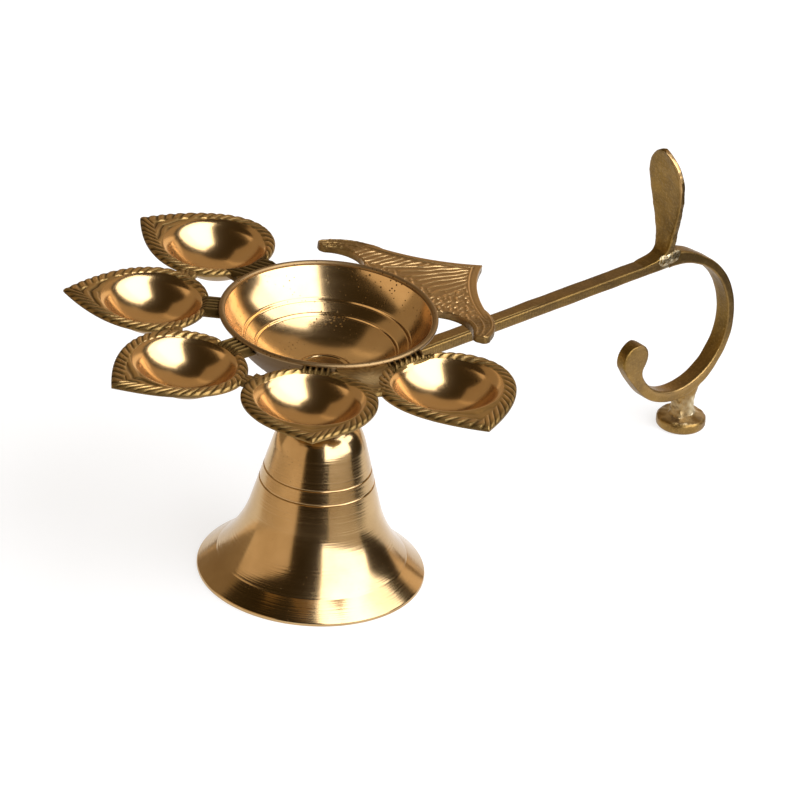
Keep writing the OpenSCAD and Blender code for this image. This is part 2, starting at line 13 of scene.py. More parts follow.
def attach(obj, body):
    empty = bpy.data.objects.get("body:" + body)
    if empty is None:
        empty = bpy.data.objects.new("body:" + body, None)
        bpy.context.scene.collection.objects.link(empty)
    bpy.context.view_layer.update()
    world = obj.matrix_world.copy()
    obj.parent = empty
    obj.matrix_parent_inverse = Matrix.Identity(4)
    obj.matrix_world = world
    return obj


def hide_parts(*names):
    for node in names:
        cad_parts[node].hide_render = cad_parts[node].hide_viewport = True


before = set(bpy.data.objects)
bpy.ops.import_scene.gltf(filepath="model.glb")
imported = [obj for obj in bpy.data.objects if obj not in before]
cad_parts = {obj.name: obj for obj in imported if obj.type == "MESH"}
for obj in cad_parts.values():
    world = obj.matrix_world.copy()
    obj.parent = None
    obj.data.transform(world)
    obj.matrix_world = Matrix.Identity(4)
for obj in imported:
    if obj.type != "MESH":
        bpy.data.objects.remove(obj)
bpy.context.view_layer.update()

MM = 0.001
POLE_R = 0.2
# Marks for the finishes: dirt with painted shade, wear with painted highlights, and braze that also paints a
# highlight on the post
MARKS = ("hollow", "worn", "braze")

# Bell
STUD_HOLE_R = 2.25
BELL_H = 53.2
BELL_RIM_R, BELL_RIM_T, BELL_RIM_IN_R = 30.0, 0.9, 27.8
BAND = np.array([24.8, 5.4])
WAIST = np.array([17.2, 19.5])
SHOULDER = np.array([12.3, 38.2])
BELL_LINES, BELL_LINE_W, BELL_LINE_DEPTH = (27.5, 31.2), 0.62, 0.3
CROWN_TOP, CROWN_UNDER, CROWN_IN_R = 45.2, 42.2, 7.0
BELL_NECK_R, COLLAR_R, COLLAR_LOW = 6.0, 7.5, 50.6
BELL_WALL = 2.2

# Bowl: its inside and outside are parts of two spheres
BOWL_RIM, BOWL_UNDER = 76.9, 59.1
BOWL_IN_Z, BOWL_IN_R = 89.78, 30.10
BOWL_OUT_Z, BOWL_OUT_R = 87.49, 29.93
BOWL_FLOOR_R, BOWL_LIP_R, BOWL_UNDER_R, BOSS_R = 5.9, 26.75, 9.4, 7.7
BOWL_LINES, BOWL_LINE_W, BOWL_LINE_DEPTH = (18.2, 21.3), 0.5, 0.2
BEAD, BEAD_R = np.array([27.72, 76.17]), 0.73
BOWL_LEVEL_R = 27.6

# Leaf cups: one number for each of the five, or one for all
LEAF_Z, LEAF_T, LEAF_REACH = 75.7, 0.9, 45.3
LEAF_TIP, LEAF_HEEL, LEAF_HALF_W = 23.2, 14.3, 16.69
LEAF_BEARING = (88.7, 133.5, 177.0, 222.8, 272.2)
LEAF_TURN = (18.0, 0.0, 0.0, 8.0, -18.0)
LEAF_SIZE = (1.03, 1.01, 1.03, 1.05, 1.08)
LEAF_OUT = (0.8, 0.2, 0.5, -1.5, -1.5)
LEAF_CHASED = (0.9, 1.0, 0.8, 0.12, 0.2)
LEAF_ROPED = (1.0, 1.0, 1.0, 0.7, 0.9)
LEAF_BLUNT = (0.0, 0.0, 0.0, 2.0, 0.0)
ROPE_W, ROPE_TWISTS, ROPE_ANGLE, BORDER_W = 2.2, 40, 40.0, 3.1
CUP_R, CUP_WALL = 12.2, 1.0
CUP_BALL_Z, CUP_BALL_R = 82.23, 14.13
CUP_WALL_R, LIP_BEND_R, LIP_END_R = 11.5, 12.35, 13.6
NECK_W = (13.0, 7.6, 7.6, 7.6, 13.0)
NECK_RIBS = (7, 5, 5, 5, 7)
NECK_SLANT = (-0.5, 0.0, 0.0, 0.0, 0.5)
LUG_OUT, LUG_IN, WEB_IN = 2.1, 3.3, 14.0

# Tail plate: half of it in (x, y), with its hollow edge and its horn made of arcs
TAIL_TIP, TAIL_CORNER, TAIL_HOLLOW = 53.8, np.array([36.6, 20.0]), 1.75
TAIL_TOP_R, TAIL_LOW_R = 27.65, 26.75
HORN, HORN_IN = np.array([19.2, 21.4]), 8.9
HORN_BACK, HORN_OUT = np.array([22.2, 18.3]), 14.5
FAR_HORN_END, NEAR_HORN_END = 55.0, 47.0
FAN, SPINE = np.array([64.0, -5.6]), 27.0
TAIL_Z, TAIL_T, TAIL_TILT = 76.3, 2.0, 4.0

# Handle
BAR_LEN, BAR_TOP = 122.8, 56.4
BAR_T, BAR_T_END, BAR_W, BAR_W_END = 3.2, 3.1, 4.8, 4.5
STUD_HEAD_R, STUD_HEAD_T = 4.3, 1.5
BRAZE_GAP = 0.1
CURL_R = (22.9, 16.9, 14.4)
CURL_T_AT, CURL_T = (-168.0, -138.0, -60.0, -40.0, 62.0, 90.0), (4.0, 3.3, 3.3, 2.6, 2.6, 4.6)
BULB_R, BULB_SET = 4.6, np.array([-1.78, 2.34])
FOOT_X, FOOT_R, FOOT_EDGE = 133.8, 5.6, 1.2
POST_LOW, POST_TOP = 3.0, 12.9


# Meshes


def step_up(x, low, high):
    """Smooth step: 0 up to low, 1 from high on, and a cubic ease between them."""
    t = np.clip((x - low) / (high - low), 0.0, 1.0)
    return t * t * (3.0 - 2.0 * t)


def teeth(phase, rise, drop):
    """Row of teeth from 0 to 1, one for each whole number of a phase.

    Each eases up until its share rise, and eases down again from its share drop on.
    """
    tooth = phase - np.floor(phase)
    return step_up(tooth, 0.0, rise) * (1.0 - step_up(tooth, drop, 1.0))


def ridge(x, width):
    """A round ridge where x is 0: 1 there, and down like a bell curve to both sides."""
    return np.exp(-(x / width) ** 2)


def groove(x, place, width, depth):
    """A round-bottomed turned line at a place along x, as a drop."""
    return depth * np.sqrt(np.clip(1.0 - ((x - place) / (width / 2.0)) ** 2, 0.0, 1.0))


def signed_power(x, power):
    """A power that keeps the sign, which turns a circle into a rounded square."""
    return np.sign(x) * np.abs(x) ** power


def uneven(points, size, seed):
    """Unevenness of a casting at points of (x, y, z), about -1 to 1.

    It is the mean of nine sine waves, about size long, that run in directions fixed by the seed.
    """
    rng = np.random.default_rng(seed)
    ways = rng.normal(size=(9, 3))
    ways *= 2.0 * np.pi / size * rng.uniform(0.6, 1.5, (9, 1)) / np.linalg.norm(ways, axis=1, keepdims=True)
    return 1.6 * np.sin(points @ ways.T + rng.uniform(0.0, 2.0 * np.pi, 9)).mean(axis=-1)


def ray_at(degrees):
    """Run of length 1 at an angle, or a row of runs at a row of angles."""
    return np.stack([np.cos(np.radians(degrees)), np.sin(np.radians(degrees))], axis=-1)


def turn(points, degrees):
    """Points turned about the Z axis."""
    cos, sin = ray_at(degrees)
    x, y = points[..., 0], points[..., 1]
    return np.stack([cos * x - sin * y, sin * x + cos * y, points[..., 2]], axis=-1)


def at_height(flat, z):
    """Points of (x, y) with a height for each, or one for all."""
    return np.concatenate([flat, np.broadcast_to(z, flat.shape[:-1])[..., None]], axis=-1)


def all_over(rings, value):
    """The same mark on every point of some rings."""
    return np.full(rings.shape[:2], value)


def skin(rings, ring_closes=False, **marks):
    """Closed skin over a stack of rings (rows x columns x 3).

    Four-sided faces join neighbouring rings. The last ring joins the first one, or else a fan closes each
    end onto the middle of its ring. The faces are turned round if the volume inside comes out negative. Each
    mark is a number for every point of the rings.
    """
    rows, cols = rings.shape[:2]
    r, c = np.meshgrid(np.arange(rows if ring_closes else rows - 1), np.arange(cols), indexing="ij")
    r2, c2 = (r + 1) % rows, (c + 1) % cols
    quads = np.stack([r * cols + c, r * cols + c2, r2 * cols + c2, r2 * cols + c], axis=-1).reshape(-1, 4)
    points = rings.reshape(-1, 3)
    marks = {name: np.broadcast_to(value, (rows, cols)).reshape(-1) for name, value in marks.items()}
    tris = np.zeros((0, 3), int)
    if not ring_closes:
        k = np.arange(cols)
        first, last = len(points), len(points) + 1
        tail = (rows - 1) * cols
        tris = np.concatenate([
            np.stack([(k + 1) % cols, k, np.full(cols, first)], axis=-1),
            np.stack([tail + k, tail + (k + 1) % cols, np.full(cols, last)], axis=-1),
        ])
        points = np.concatenate([points, rings[:1].mean(axis=1), rings[-1:].mean(axis=1)])
        marks = {name: np.append(value, [value[0], value[-1]]) for name, value in marks.items()}
    corners = np.concatenate([quads[:, :3], quads[:, [0, 2, 3]], tris])
    a, b, c = (points[corners[:, i]] for i in range(3))
    if np.einsum("ij,ij->", a, np.cross(b, c)) < 0.0:
        quads, tris = quads[:, ::-1], tris[:, ::-1]
    return points, quads, tris, marks


def in_scene(name, data):
    """A new object of some data, put in the scene."""
    made = bpy.data.objects.new(name, data)
    bpy.context.scene.collection.objects.link(made)
    return made


def piece(name, node, material, skins, sharp=40.0):
    """Makes one object of closed skins, which stands for a CAD node and rides on the only body.

    Edges that bend by more than sharp degrees stay crisp. The marks become attributes for the finishes.
    """
    points, faces, marks, start = [], [], {}, 0
    for part_points, quads, tris, part_marks in skins:
        points.append(part_points)
        faces += (quads + start).tolist() + (tris + start).tolist()
        start += len(part_points)
        for mark in MARKS:
            marks.setdefault(mark, []).append(part_marks.get(mark, np.zeros(len(part_points))))
    mesh = bpy.data.meshes.new(name)
    mesh.from_pydata((np.concatenate(points) * MM).tolist(), [], faces)
    for mark, values in marks.items():
        mesh.attributes.new(mark, "FLOAT", "POINT").data.foreach_set("value", np.concatenate(values))
    mesh.shade_smooth()
    mesh.set_sharp_from_angle(angle=np.radians(sharp))
    mesh.materials.append(material)
    made = in_scene(name, mesh)
    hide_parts(node)
    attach(made, "root")


def bent(start, bend, end, t):
    """Quadratic curve from one point to another that leaves and arrives in line with the bend."""
    return (1.0 - t) ** 2 * start + 2.0 * t * (1.0 - t) * bend + t ** 2 * end


def rounded(corners, radius, steps=5):
    """A line through corners, with a quadratic curve at each inner corner that starts radius before it."""
    corners = np.asarray(corners, float)
    mid, before, after = corners[1:-1], corners[:-2], corners[2:]
    radius = np.broadcast_to(radius, len(mid))[:, None]
    len_before = np.linalg.norm(before - mid, axis=1, keepdims=True)
    len_after = np.linalg.norm(after - mid, axis=1, keepdims=True)
    a = mid + (before - mid) * np.minimum(radius / len_before, 0.45)
    b = mid + (after - mid) * np.minimum(radius / len_after, 0.45)
    t = np.linspace(0.0, 1.0, steps)[None, :, None]
    curve = bent(a[:, None], mid[:, None], b[:, None], t)
    return np.concatenate([corners[:1], curve.reshape(-1, 2), corners[-1:]])


def arc(centre, radius, start, end, steps):
    """Points on an arc from one angle to another, in degrees."""
    return np.asarray(centre, float) + radius * ray_at(np.linspace(start, end, steps))


def angle_of(run):
    """Angle of a run of two numbers, in degrees from 0 to 360."""
    return np.degrees(np.arctan2(run[1], run[0])) % 360.0


def lengths(line):
    """Length along a line of points, from 0 at its start."""
    return np.concatenate([[0.0], np.cumsum(np.linalg.norm(np.diff(line, axis=0), axis=1))])


def by_length(line, count):
    """A line of points drawn again with count points at even steps of length."""
    run = lengths(line)
    at = np.linspace(0.0, run[-1], count)
    return np.stack([np.interp(at, run, line[:, 0]), np.interp(at, run, line[:, 1])], axis=-1)


def turned_rings(profile, columns):
    """Rings of a profile carried round the Z axis."""
    a = np.linspace(0.0, 2.0 * np.pi, columns, endpoint=False)
    r, z = profile[:, :1], profile[:, 1:]
    return np.stack([r * np.cos(a), r * np.sin(a), np.broadcast_to(z, (len(z), columns))], axis=-1)


def revolve(profile, columns=256, ring_closes=False, **marks):
    """Skin of a profile carried round the Z axis, with a number for every point of the profile as a mark."""
    marks = {name: np.asarray(value)[:, None] for name, value in marks.items()}
    return skin(turned_rings(profile, columns), ring_closes, **marks)


# Materials


def linear(hex_text):
    """Linear colour of an sRGB hex value."""
    part = np.array([int(hex_text[i:i + 2], 16) for i in (1, 3, 5)]) / 255.0
    part = np.where(part <= 0.04045, part / 12.92, ((part + 0.055) / 1.055) ** 2.4)
    return (*part.tolist(), 1.0)


def add(tree, kind, links=None, **settings):
    """Adds one shader node. Settings go on the node; links are values, sockets or nodes for its inputs.

    A linked node stands for the first of its outputs that is in use.
    """
    made = tree.nodes.new("ShaderNode" + kind)
    for name, value in settings.items():
        setattr(made, name, value)
    for name, value in (links or {}).items():
        if isinstance(value, bpy.types.Node):
            value = next(socket for socket in value.outputs if socket.enabled)
        if isinstance(value, bpy.types.NodeSocket):
            tree.links.new(value, made.inputs[name])
        else:
            made.inputs[name].default_value = value
    return made


def per_mm(size):
    """Texture scale, in repeats per metre, of a pattern that repeats every size millimetres."""
    return 1.0 / (size * MM)


def new_material(name):
    """An empty node material, its tree, and Object coordinates in metres."""
    made = bpy.data.materials.new(name)
    made.use_nodes = True
    tree = made.node_tree
    tree.nodes.clear()
    return made, tree, add(tree, "TexCoord").outputs["Object"]


def finish_metal(tree, colour, roughness, height, strength, depth_mm):
    """Ends a material in a metal with the default index of refraction and with fine relief."""
    bump = add(tree, "Bump", {"Height": height, "Strength": strength, "Distance": depth_mm * MM})
    metal = add(tree, "BsdfPrincipled", {
        "Metallic": 1.0, "Base Color": colour, "Roughness": roughness, "Normal": bump})
    add(tree, "OutputMaterial", {"Surface": metal})


def turned_brass(name, bright, dull, gloss, ring_mm, ring_depth_mm, pit_mm):
    """Turned brass: fine rings from the lathe tool, brown tarnish in soft patches, and small casting pits.

    The eye sees rings that break up each highlight, a warm drift of colour, and rough specks that look dark
    on a highlight and pale on a dark reflection. The bowl's lip and outside carry painted shade: a dark
    brown tint and more roughness.
    """
    patch_mm, pit_gap_mm, pit_cluster_mm = 14.0, 1.15, 9.0
    made, tree, place = new_material(name)
    hollow = add(tree, "Attribute", attribute_name="hollow").outputs["Fac"]
    xyz = add(tree, "SeparateXYZ", {"Vector": place}).outputs
    flat = add(tree, "CombineXYZ", {"X": xyz["X"], "Y": xyz["Y"]})
    out = add(tree, "VectorMath", {0: flat}, operation="LENGTH")
    across = add(tree, "Math", {0: out, 1: xyz["Z"]}, operation="SUBTRACT")
    rings = add(tree, "TexNoise", {"W": across, "Scale": per_mm(ring_mm), "Detail": 2.0},
                noise_dimensions="1D")
    patches = add(tree, "TexNoise", {"Vector": place, "Scale": per_mm(patch_mm), "Detail": 4.0})
    pit_cells = add(tree, "TexVoronoi", {"Vector": place, "Scale": per_mm(pit_gap_mm)})
    pit_clusters = add(tree, "TexNoise", {"Vector": place, "Scale": per_mm(pit_cluster_mm)})
    pit_size = add(tree, "MapRange", {
        "Value": pit_clusters, "From Min": 0.3, "From Max": 0.7,
        "To Min": 0.0, "To Max": pit_mm / pit_gap_mm})
    pit = add(tree, "Math", {0: pit_cells, 1: pit_size}, operation="LESS_THAN")
    tarnish = add(tree, "MapRange", {
        "Value": patches, "From Min": 0.35, "From Max": 0.7, "To Min": 0.0, "To Max": 0.55})
    clean = add(tree, "Mix", {"Factor": tarnish, "A": linear(bright), "B": linear(dull)}, data_type="RGBA")
    # Painted shade: the marked places on the bowl's lip and outside turn a shaded brown
    dirtied_and_shaded = add(tree, "Mix", {"Factor": hollow, "A": clean, "B": linear("#6B5334")}, data_type="RGBA")
    colour = add(tree, "Mix", {"Factor": pit, "A": dirtied_and_shaded, "B": linear("#7A5A30")}, data_type="RGBA")
    shine = add(tree, "MapRange", {"Value": rings, "To Min": gloss - 0.05, "To Max": gloss + 0.08})
    dulled = add(tree, "Math", {0: hollow, 1: 0.35, 2: shine}, operation="MULTIPLY_ADD")
    rough = add(tree, "Math", {0: pit, 1: 0.5, 2: dulled}, operation="MULTIPLY_ADD")
    height = add(tree, "Math", {0: rings, 1: pit}, operation="SUBTRACT")
    finish_metal(tree, colour, rough, height, 1.0, ring_depth_mm)
    return made


def cast_brass(name, bright, dull, grime_and_shade, gloss, grit_mm, grit_depth_mm):
    """Sand-cast brass: gritty skin, brown dirt in the hollows, painted shade where marked, and edges worn
    bright by hands; some pale places are painted highlights.

    The eye sees a dull brown-gold face with fine grain, darker recesses and painted shade, and pale rubbed
    edges, painted highlights and spots of braze.
    """
    patch_mm = 6.0
    made, tree, place = new_material(name)
    hollow, worn, braze = (add(tree, "Attribute", attribute_name=mark).outputs["Fac"] for mark in MARKS)
    patches = add(tree, "TexNoise", {"Vector": place, "Scale": per_mm(patch_mm), "Detail": 5.0})
    grit = add(tree, "TexNoise", {
        "Vector": place, "Scale": per_mm(grit_mm), "Detail": 3.0, "Roughness": 0.6})
    drift = add(tree, "MapRange", {"Value": patches, "From Min": 0.3, "From Max": 0.72})
    base = add(tree, "Mix", {"Factor": drift, "A": linear(bright), "B": linear(dull)}, data_type="RGBA")
    speck = add(tree, "MapRange", {
        "Value": grit, "From Min": 0.5, "From Max": 0.75, "To Min": 0.0, "To Max": 0.5})
    grainy = add(tree, "Mix", {"Factor": speck, "A": base, "B": linear("#AC8A4C")}, data_type="RGBA")
    # Paler where rubbed, and where a highlight is painted
    rubbed = add(tree, "Mix", {"Factor": worn, "A": grainy, "B": linear("#DBB37C")}, data_type="RGBA")
    # Dark tint for dirt in the hollows and for painted shade
    dirtied_and_shaded = add(tree, "Mix", {"Factor": hollow, "A": rubbed, "B": linear(grime_and_shade)}, data_type="RGBA")
    # Pale braze, which on the post also paints a highlight
    colour = add(tree, "Mix", {"Factor": braze, "A": dirtied_and_shaded, "B": linear("#E6D8B4")}, data_type="RGBA")
    smooth = add(tree, "Math", {0: worn, 1: braze}, operation="MAXIMUM")
    shine = add(tree, "MapRange", {"Value": smooth, "To Min": gloss, "To Max": gloss - 0.19})
    rough = add(tree, "Math", {0: hollow, 1: 0.25, 2: shine}, operation="MULTIPLY_ADD")
    grit_left = add(tree, "MapRange", {"Value": worn, "To Min": 1.0, "To Max": 0.12})
    finish_metal(tree, colour, rough, grit, grit_left, grit_depth_mm)
    return made


def matt(name, dark, pale, grain_mm, detail):
    """A matt material with a soft grain between two colours: itself, its tree, and its shader's node."""
    made, tree, place = new_material(name)
    grain = add(tree, "TexNoise", {"Vector": place, "Scale": per_mm(grain_mm), "Detail": detail})
    tone = add(tree, "Mix", {"Factor": grain, "A": linear(dark), "B": linear(pale)}, data_type="RGBA")
    return made, tree, add(tree, "BsdfDiffuse", {"Color": tone})


# A satin bell: the rings are drawn 0.7 mm apart, coarser than the real ones, so that they show
bell_finish = turned_brass("turned_brass_satin", "#C7A87A", "#9F7C4B",
                           gloss=0.15, ring_mm=0.7, ring_depth_mm=0.015, pit_mm=0.12)
# A bowl polished on the lathe: near a mirror, with rings that hardly show and a scatter of fine pits
bowl_finish = turned_brass("polished_brass_mirror", "#DDBA86", "#C59C66",
                           gloss=0.17, ring_mm=1.2, ring_depth_mm=0.003, pit_mm=0.29)
# Leaf cups: polished in the cup and on the crests, cast and soiled in the cuts, with painted shade on the
# outer half of each border
leaf_finish = cast_brass("cast_brass_polished_cups", "#BC985C", "#8E7243", "#483619",
                         gloss=0.38, grit_mm=0.5, grit_depth_mm=0.05)
# Handle and tail plate straight from the sand mould, filed by hand
cast_finish = cast_brass("sand_cast_brass", "#8A6B31", "#604921", "#3E2E14",
                         gloss=0.42, grit_mm=0.7, grit_depth_mm=0.14)


# Bell and bowl


def bell_profile():
    """Outside of the bell from the table up, and its inside back down to the table.

    The flare is an arc from the band that runs smoothly into the straight waist; the dome is a quadratic
    curve that leaves the waist smoothly; two turned lines are cut into the waist.
    """
    run = SHOULDER - WAIST
    normal = np.array([run[1], -run[0]]) / np.linalg.norm(run)
    chord = BAND - WAIST
    radius = (chord @ chord) / (2.0 * (chord @ normal))
    centre = WAIST + radius * normal
    rim = [(BELL_RIM_IN_R, 0.0), (BELL_RIM_R, 0.0), (BELL_RIM_R, BELL_RIM_T)]
    foot = rounded([*rim, BAND + (0.22, -0.28), BAND], (0.3, 0.35, 0.08))
    flare = arc(centre, radius, angle_of(BAND - centre), angle_of(WAIST - centre), 60)[1:]
    near_lines = np.concatenate([np.linspace(place - 0.4, place + 0.4, 25) for place in BELL_LINES])
    z = np.union1d(np.linspace(WAIST[1], SHOULDER[1], 70), near_lines)[1:]
    waist = np.stack([np.interp(z, (WAIST[1], SHOULDER[1]), (WAIST[0], SHOULDER[0])), z], axis=-1)
    for place in BELL_LINES:
        waist[:, 0] -= groove(z, place, BELL_LINE_W, BELL_LINE_DEPTH)
    peak = SHOULDER + run * (CROWN_TOP - SHOULDER[1]) / run[1]
    crown = np.array([BELL_NECK_R, CROWN_TOP])
    dome = bent(SHOULDER, peak, crown, np.linspace(0.0, 1.0, 40)[1:, None])
    wall = np.array([BELL_WALL, 0.0])
    top = rounded([
        crown, (BELL_NECK_R, COLLAR_LOW), (COLLAR_R, COLLAR_LOW), (COLLAR_R, BELL_H), (STUD_HOLE_R, BELL_H),
        (STUD_HOLE_R, CROWN_UNDER), (CROWN_IN_R, CROWN_UNDER), SHOULDER - wall],
        (1.2, 0.3, 0.3, 0.2, 0.2, 0.8))
    inner = np.concatenate([flare[::-1] - wall, [BAND - wall - (0.0, 0.6)]])
    return np.concatenate([foot, flare, waist, dome, top[1:], inner])


def bowl_profile():
    """Inside of the bowl from the middle of its floor to the lip, and its outside back to the stud's head.

    Inside and outside are parts of two spheres. The lip is a round bead. Two turned lines are cut inside,
    each with a low burr, and a low round ring marks the edge of the flat floor. The second result is painted
    shade: none inside, most of it on the lip's bead and all of it on the outside.
    """
    r = np.linspace(BOWL_FLOOR_R, BOWL_LIP_R, 270)
    z = BOWL_IN_Z - np.sqrt(BOWL_IN_R ** 2 - r ** 2) + 0.2 * ridge(r - BOWL_FLOOR_R - 0.5, 0.4)
    for place in BOWL_LINES:
        z += 0.1 * ridge(r - place - 0.42, 0.16) - groove(r, place, BOWL_LINE_W, BOWL_LINE_DEPTH)
    wall = np.stack([r, z], axis=-1)
    floor_r = np.linspace(POLE_R, BOWL_FLOOR_R - 0.2, 12)
    floor = np.stack([floor_r, np.full(12, z[0])], axis=-1)
    lip = arc(BEAD, BEAD_R, 192.0, -35.0, 30)
    out_z = np.linspace(BOWL_RIM - 1.4, BOWL_UNDER + 0.3, 40)
    out_r = np.sqrt(BOWL_OUT_R ** 2 - (BOWL_OUT_Z - out_z) ** 2)
    outside = np.stack([out_r, out_z], axis=-1)
    under = rounded([(BOWL_UNDER_R, BOWL_UNDER), (BOSS_R, BOWL_UNDER), (BOSS_R, BAR_TOP), (POLE_R, BAR_TOP)],
                    (0.5, 0.35))
    # Painted shade: none inside, most of it on the lip's bead, all of it on the outside
    dull = np.repeat((0.0, 0.75, 1.0), (len(floor) + len(wall), len(lip), len(outside) + len(under)))
    return np.concatenate([floor, wall, lip, outside, under]), dull


piece("bell", "bell_stand", bell_finish, [revolve(bell_profile(), ring_closes=True)])
profile, dull = bowl_profile()
piece("bowl", "oil_bowl", bowl_finish, [revolve(profile, hollow=dull)])


# Leaf cups


def leaf_curve(p, margin):
    """Edge of a leaf about its cup's centre, drawn in by a margin.

    The parameter runs from the tip (0) along one curved side (1), round half an ellipse at the heel (3) and
    back along the other side (4).
    """
    half_w = LEAF_HALF_W - margin
    tip = LEAF_TIP * (1.0 - margin / LEAF_HALF_W)
    heel = LEAF_HEEL - margin
    t = np.where(p < 2.0, 1.0 - p, p - 3.0)
    a = 0.5 * np.pi * p
    side = (p < 1.0) | (p > 3.0)
    x = np.where(side, tip * t, heel * np.cos(a))
    y = np.where(side, np.where(p < 2.0, 1.0, -1.0) * half_w * (1.0 - t ** 2), half_w * np.sin(a))
    return np.stack([x, y], axis=-1)


def ball_height(r, ball_r):
    """Height of the lower side of a cup's sphere at a distance from its middle."""
    return CUP_BALL_Z - np.sqrt(ball_r ** 2 - r ** 2)


def lip_height(r):
    """Height of the cup's upper wall at a distance from its middle.

    A quadratic curve leaves the sphere in its own direction and bends over into the leaf's face.
    """
    low = ball_height(CUP_WALL_R, CUP_BALL_R)
    bend_z = low + (LIP_BEND_R - CUP_WALL_R) * CUP_WALL_R / np.sqrt(CUP_BALL_R ** 2 - CUP_WALL_R ** 2)
    t = np.linspace(0.0, 1.0, 60)
    return np.interp(r, bent(CUP_WALL_R, LIP_BEND_R, LIP_END_R, t), bent(low, bend_z, LEAF_Z, t))


def leaf_skin(i):
    """Skin of one leaf: rows run from the middle of its cup out to the edge and back under it.

    The cup is part of a sphere whose upper wall bends over into the leaf's face. The border is a low round
    bead with a slanting row of twists: each rises slowly along the edge and drops off quickly. Cuts like a
    herringbone slant back from the middle of the face near the tip, as deep as it was chased. The columns
    stand at even steps round the border. The border lies lower where the neck joins it. A blunt tip is drawn
    in.
    """
    seed, per_twist = 40 + i, 12
    columns = per_twist * ROPE_TWISTS
    dense = np.linspace(0.0, 4.0, 4001)
    run = lengths(leaf_curve(dense, ROPE_W / 2.0))
    p = np.interp(np.linspace(0.0, run[-1], columns, endpoint=False), run, dense)
    pitch = run[-1] / ROPE_TWISTS

    inner, outer = leaf_curve(p, BORDER_W), leaf_curve(p, 0.0)
    reach = np.linalg.norm(inner, axis=1, keepdims=True)
    way = inner / reach
    inner = way * np.maximum(reach, CUP_R + 0.35)

    # The round of the cup
    cup_r = CUP_WALL_R * np.sin(np.linspace(0.02, 0.5 * np.pi, 26))[:, None]
    cup = at_height(way[None] * cup_r[..., None], ball_height(cup_r, CUP_BALL_R))

    # Its upper wall, its lip and the chased face
    f = (np.linspace(0.0, 1.0, 56)[1:] ** 1.25)[:, None, None]
    flat = way[None] * CUP_WALL_R * (1.0 - f) + inner[None] * f
    x, y = flat[..., 0], flat[..., 1]
    r = np.hypot(x, y)
    room = step_up(r, CUP_R + 1.2, CUP_R + 2.2) * step_up(x, 3.0, 8.0) * LEAF_CHASED[i]
    chip = teeth((x + 0.4 * np.abs(y)) / 2.3 + 0.2 * uneven(at_height(flat, 0.0), 5.0, seed), 0.55, 0.75)
    face = at_height(flat, lip_height(r) + room * (0.42 * chip - 0.2))
    face_hollow = np.clip(room * (0.75 - 1.1 * chip), 0.0, 1.0)
    polish = 1.0 - step_up(r, CUP_R + 1.2, CUP_R + 2.0)

    # The rope
    w = np.linspace(0.0, 1.0, 19)[1:, None]
    slant = BORDER_W / (pitch * np.tan(np.radians(ROPE_ANGLE)))
    sway = 0.12 * np.sin(np.arange(columns) * 2.0 * np.pi * 7.0 / columns + seed)[None]
    flat = inner[None] + (outer - inner)[None] * w[..., None]
    a = np.radians(LEAF_TURN[i])
    beside = np.abs(np.sin(a) * flat[..., 0] + np.cos(a) * flat[..., 1])
    joined = (flat[..., 0] < 0.0) * (1.0 - step_up(beside, NECK_W[i] / 2.0 - 0.4, NECK_W[i] / 2.0 + 0.5))
    twist = teeth(np.arange(columns)[None] / per_twist - (0.5 - w) * slant + sway, 0.5, 0.72)
    twist = twist * (1.0 - joined) * LEAF_ROPED[i]
    bead = np.sqrt(np.clip(1.0 - (2.0 * w - 1.0) ** 2, 0.0, 1.0)) ** 0.8
    foot_z = lip_height(np.linalg.norm(inner, axis=1))[None]
    rope_z = foot_z + (LEAF_Z - 0.05 - foot_z) * step_up(w, 0.0, 0.4) - 0.3 * step_up(w, 0.8, 1.0)
    rope = at_height(flat, rope_z + bead * (0.13 + 0.35 * twist - 0.2 * joined))
    # Darker between the twists near the cup, and painted shade over the border's outer half
    rope_gaps_and_shade = 0.8 * (1.0 - twist) ** 2 * step_up(w, 0.0, 0.3) + 0.3 * step_up(w, 0.5, 0.95)
    rope_worn = 0.6 * twist ** 2 * bead ** 2 * (1.0 - step_up(w, 0.45, 0.85))

    # The outer edge, the flat underside and the back of the cup
    low = LEAF_Z - LEAF_T
    edge = rope[-1][None].repeat(4, axis=0)
    edge[..., 2] += (np.array([0.3, 0.7, 1.0, 1.0])[:, None]) * (low - edge[..., 2])
    edge[-1, :, :2] *= 0.99
    ball_r = CUP_BALL_R + CUP_WALL
    root = np.sqrt(ball_r ** 2 - (CUP_BALL_Z - low) ** 2)
    f = np.linspace(0.0, 1.0, 8)[1:, None, None]
    under = at_height(edge[-1][None, :, :2] * (1.0 - f) + way[None] * root * f, low)
    back_r = root * np.cos(np.linspace(0.0, 0.5 * np.pi - 0.02, 22))[1:, None]
    back = at_height(way[None] * back_r[..., None], ball_height(back_r, ball_r))

    rings = np.concatenate([cup, face, rope, edge, under, back])
    rings[..., 2] += 0.05 * uneven(rings, 16.0, seed)
    rings[..., 0] -= LEAF_BLUNT[i] * step_up(rings[..., 0], 11.0, LEAF_TIP)
    hidden = np.concatenate([edge, under, back])
    hollow = np.concatenate([
        all_over(cup, 0.0), face_hollow, np.clip(rope_gaps_and_shade, 0.0, 1.0), all_over(hidden, 0.2)])
    worn = np.concatenate([
        all_over(cup, 1.0), np.maximum(polish, 0.3 * chip * room), rope_worn, all_over(hidden, 0.1)])
    return rings, hollow, worn


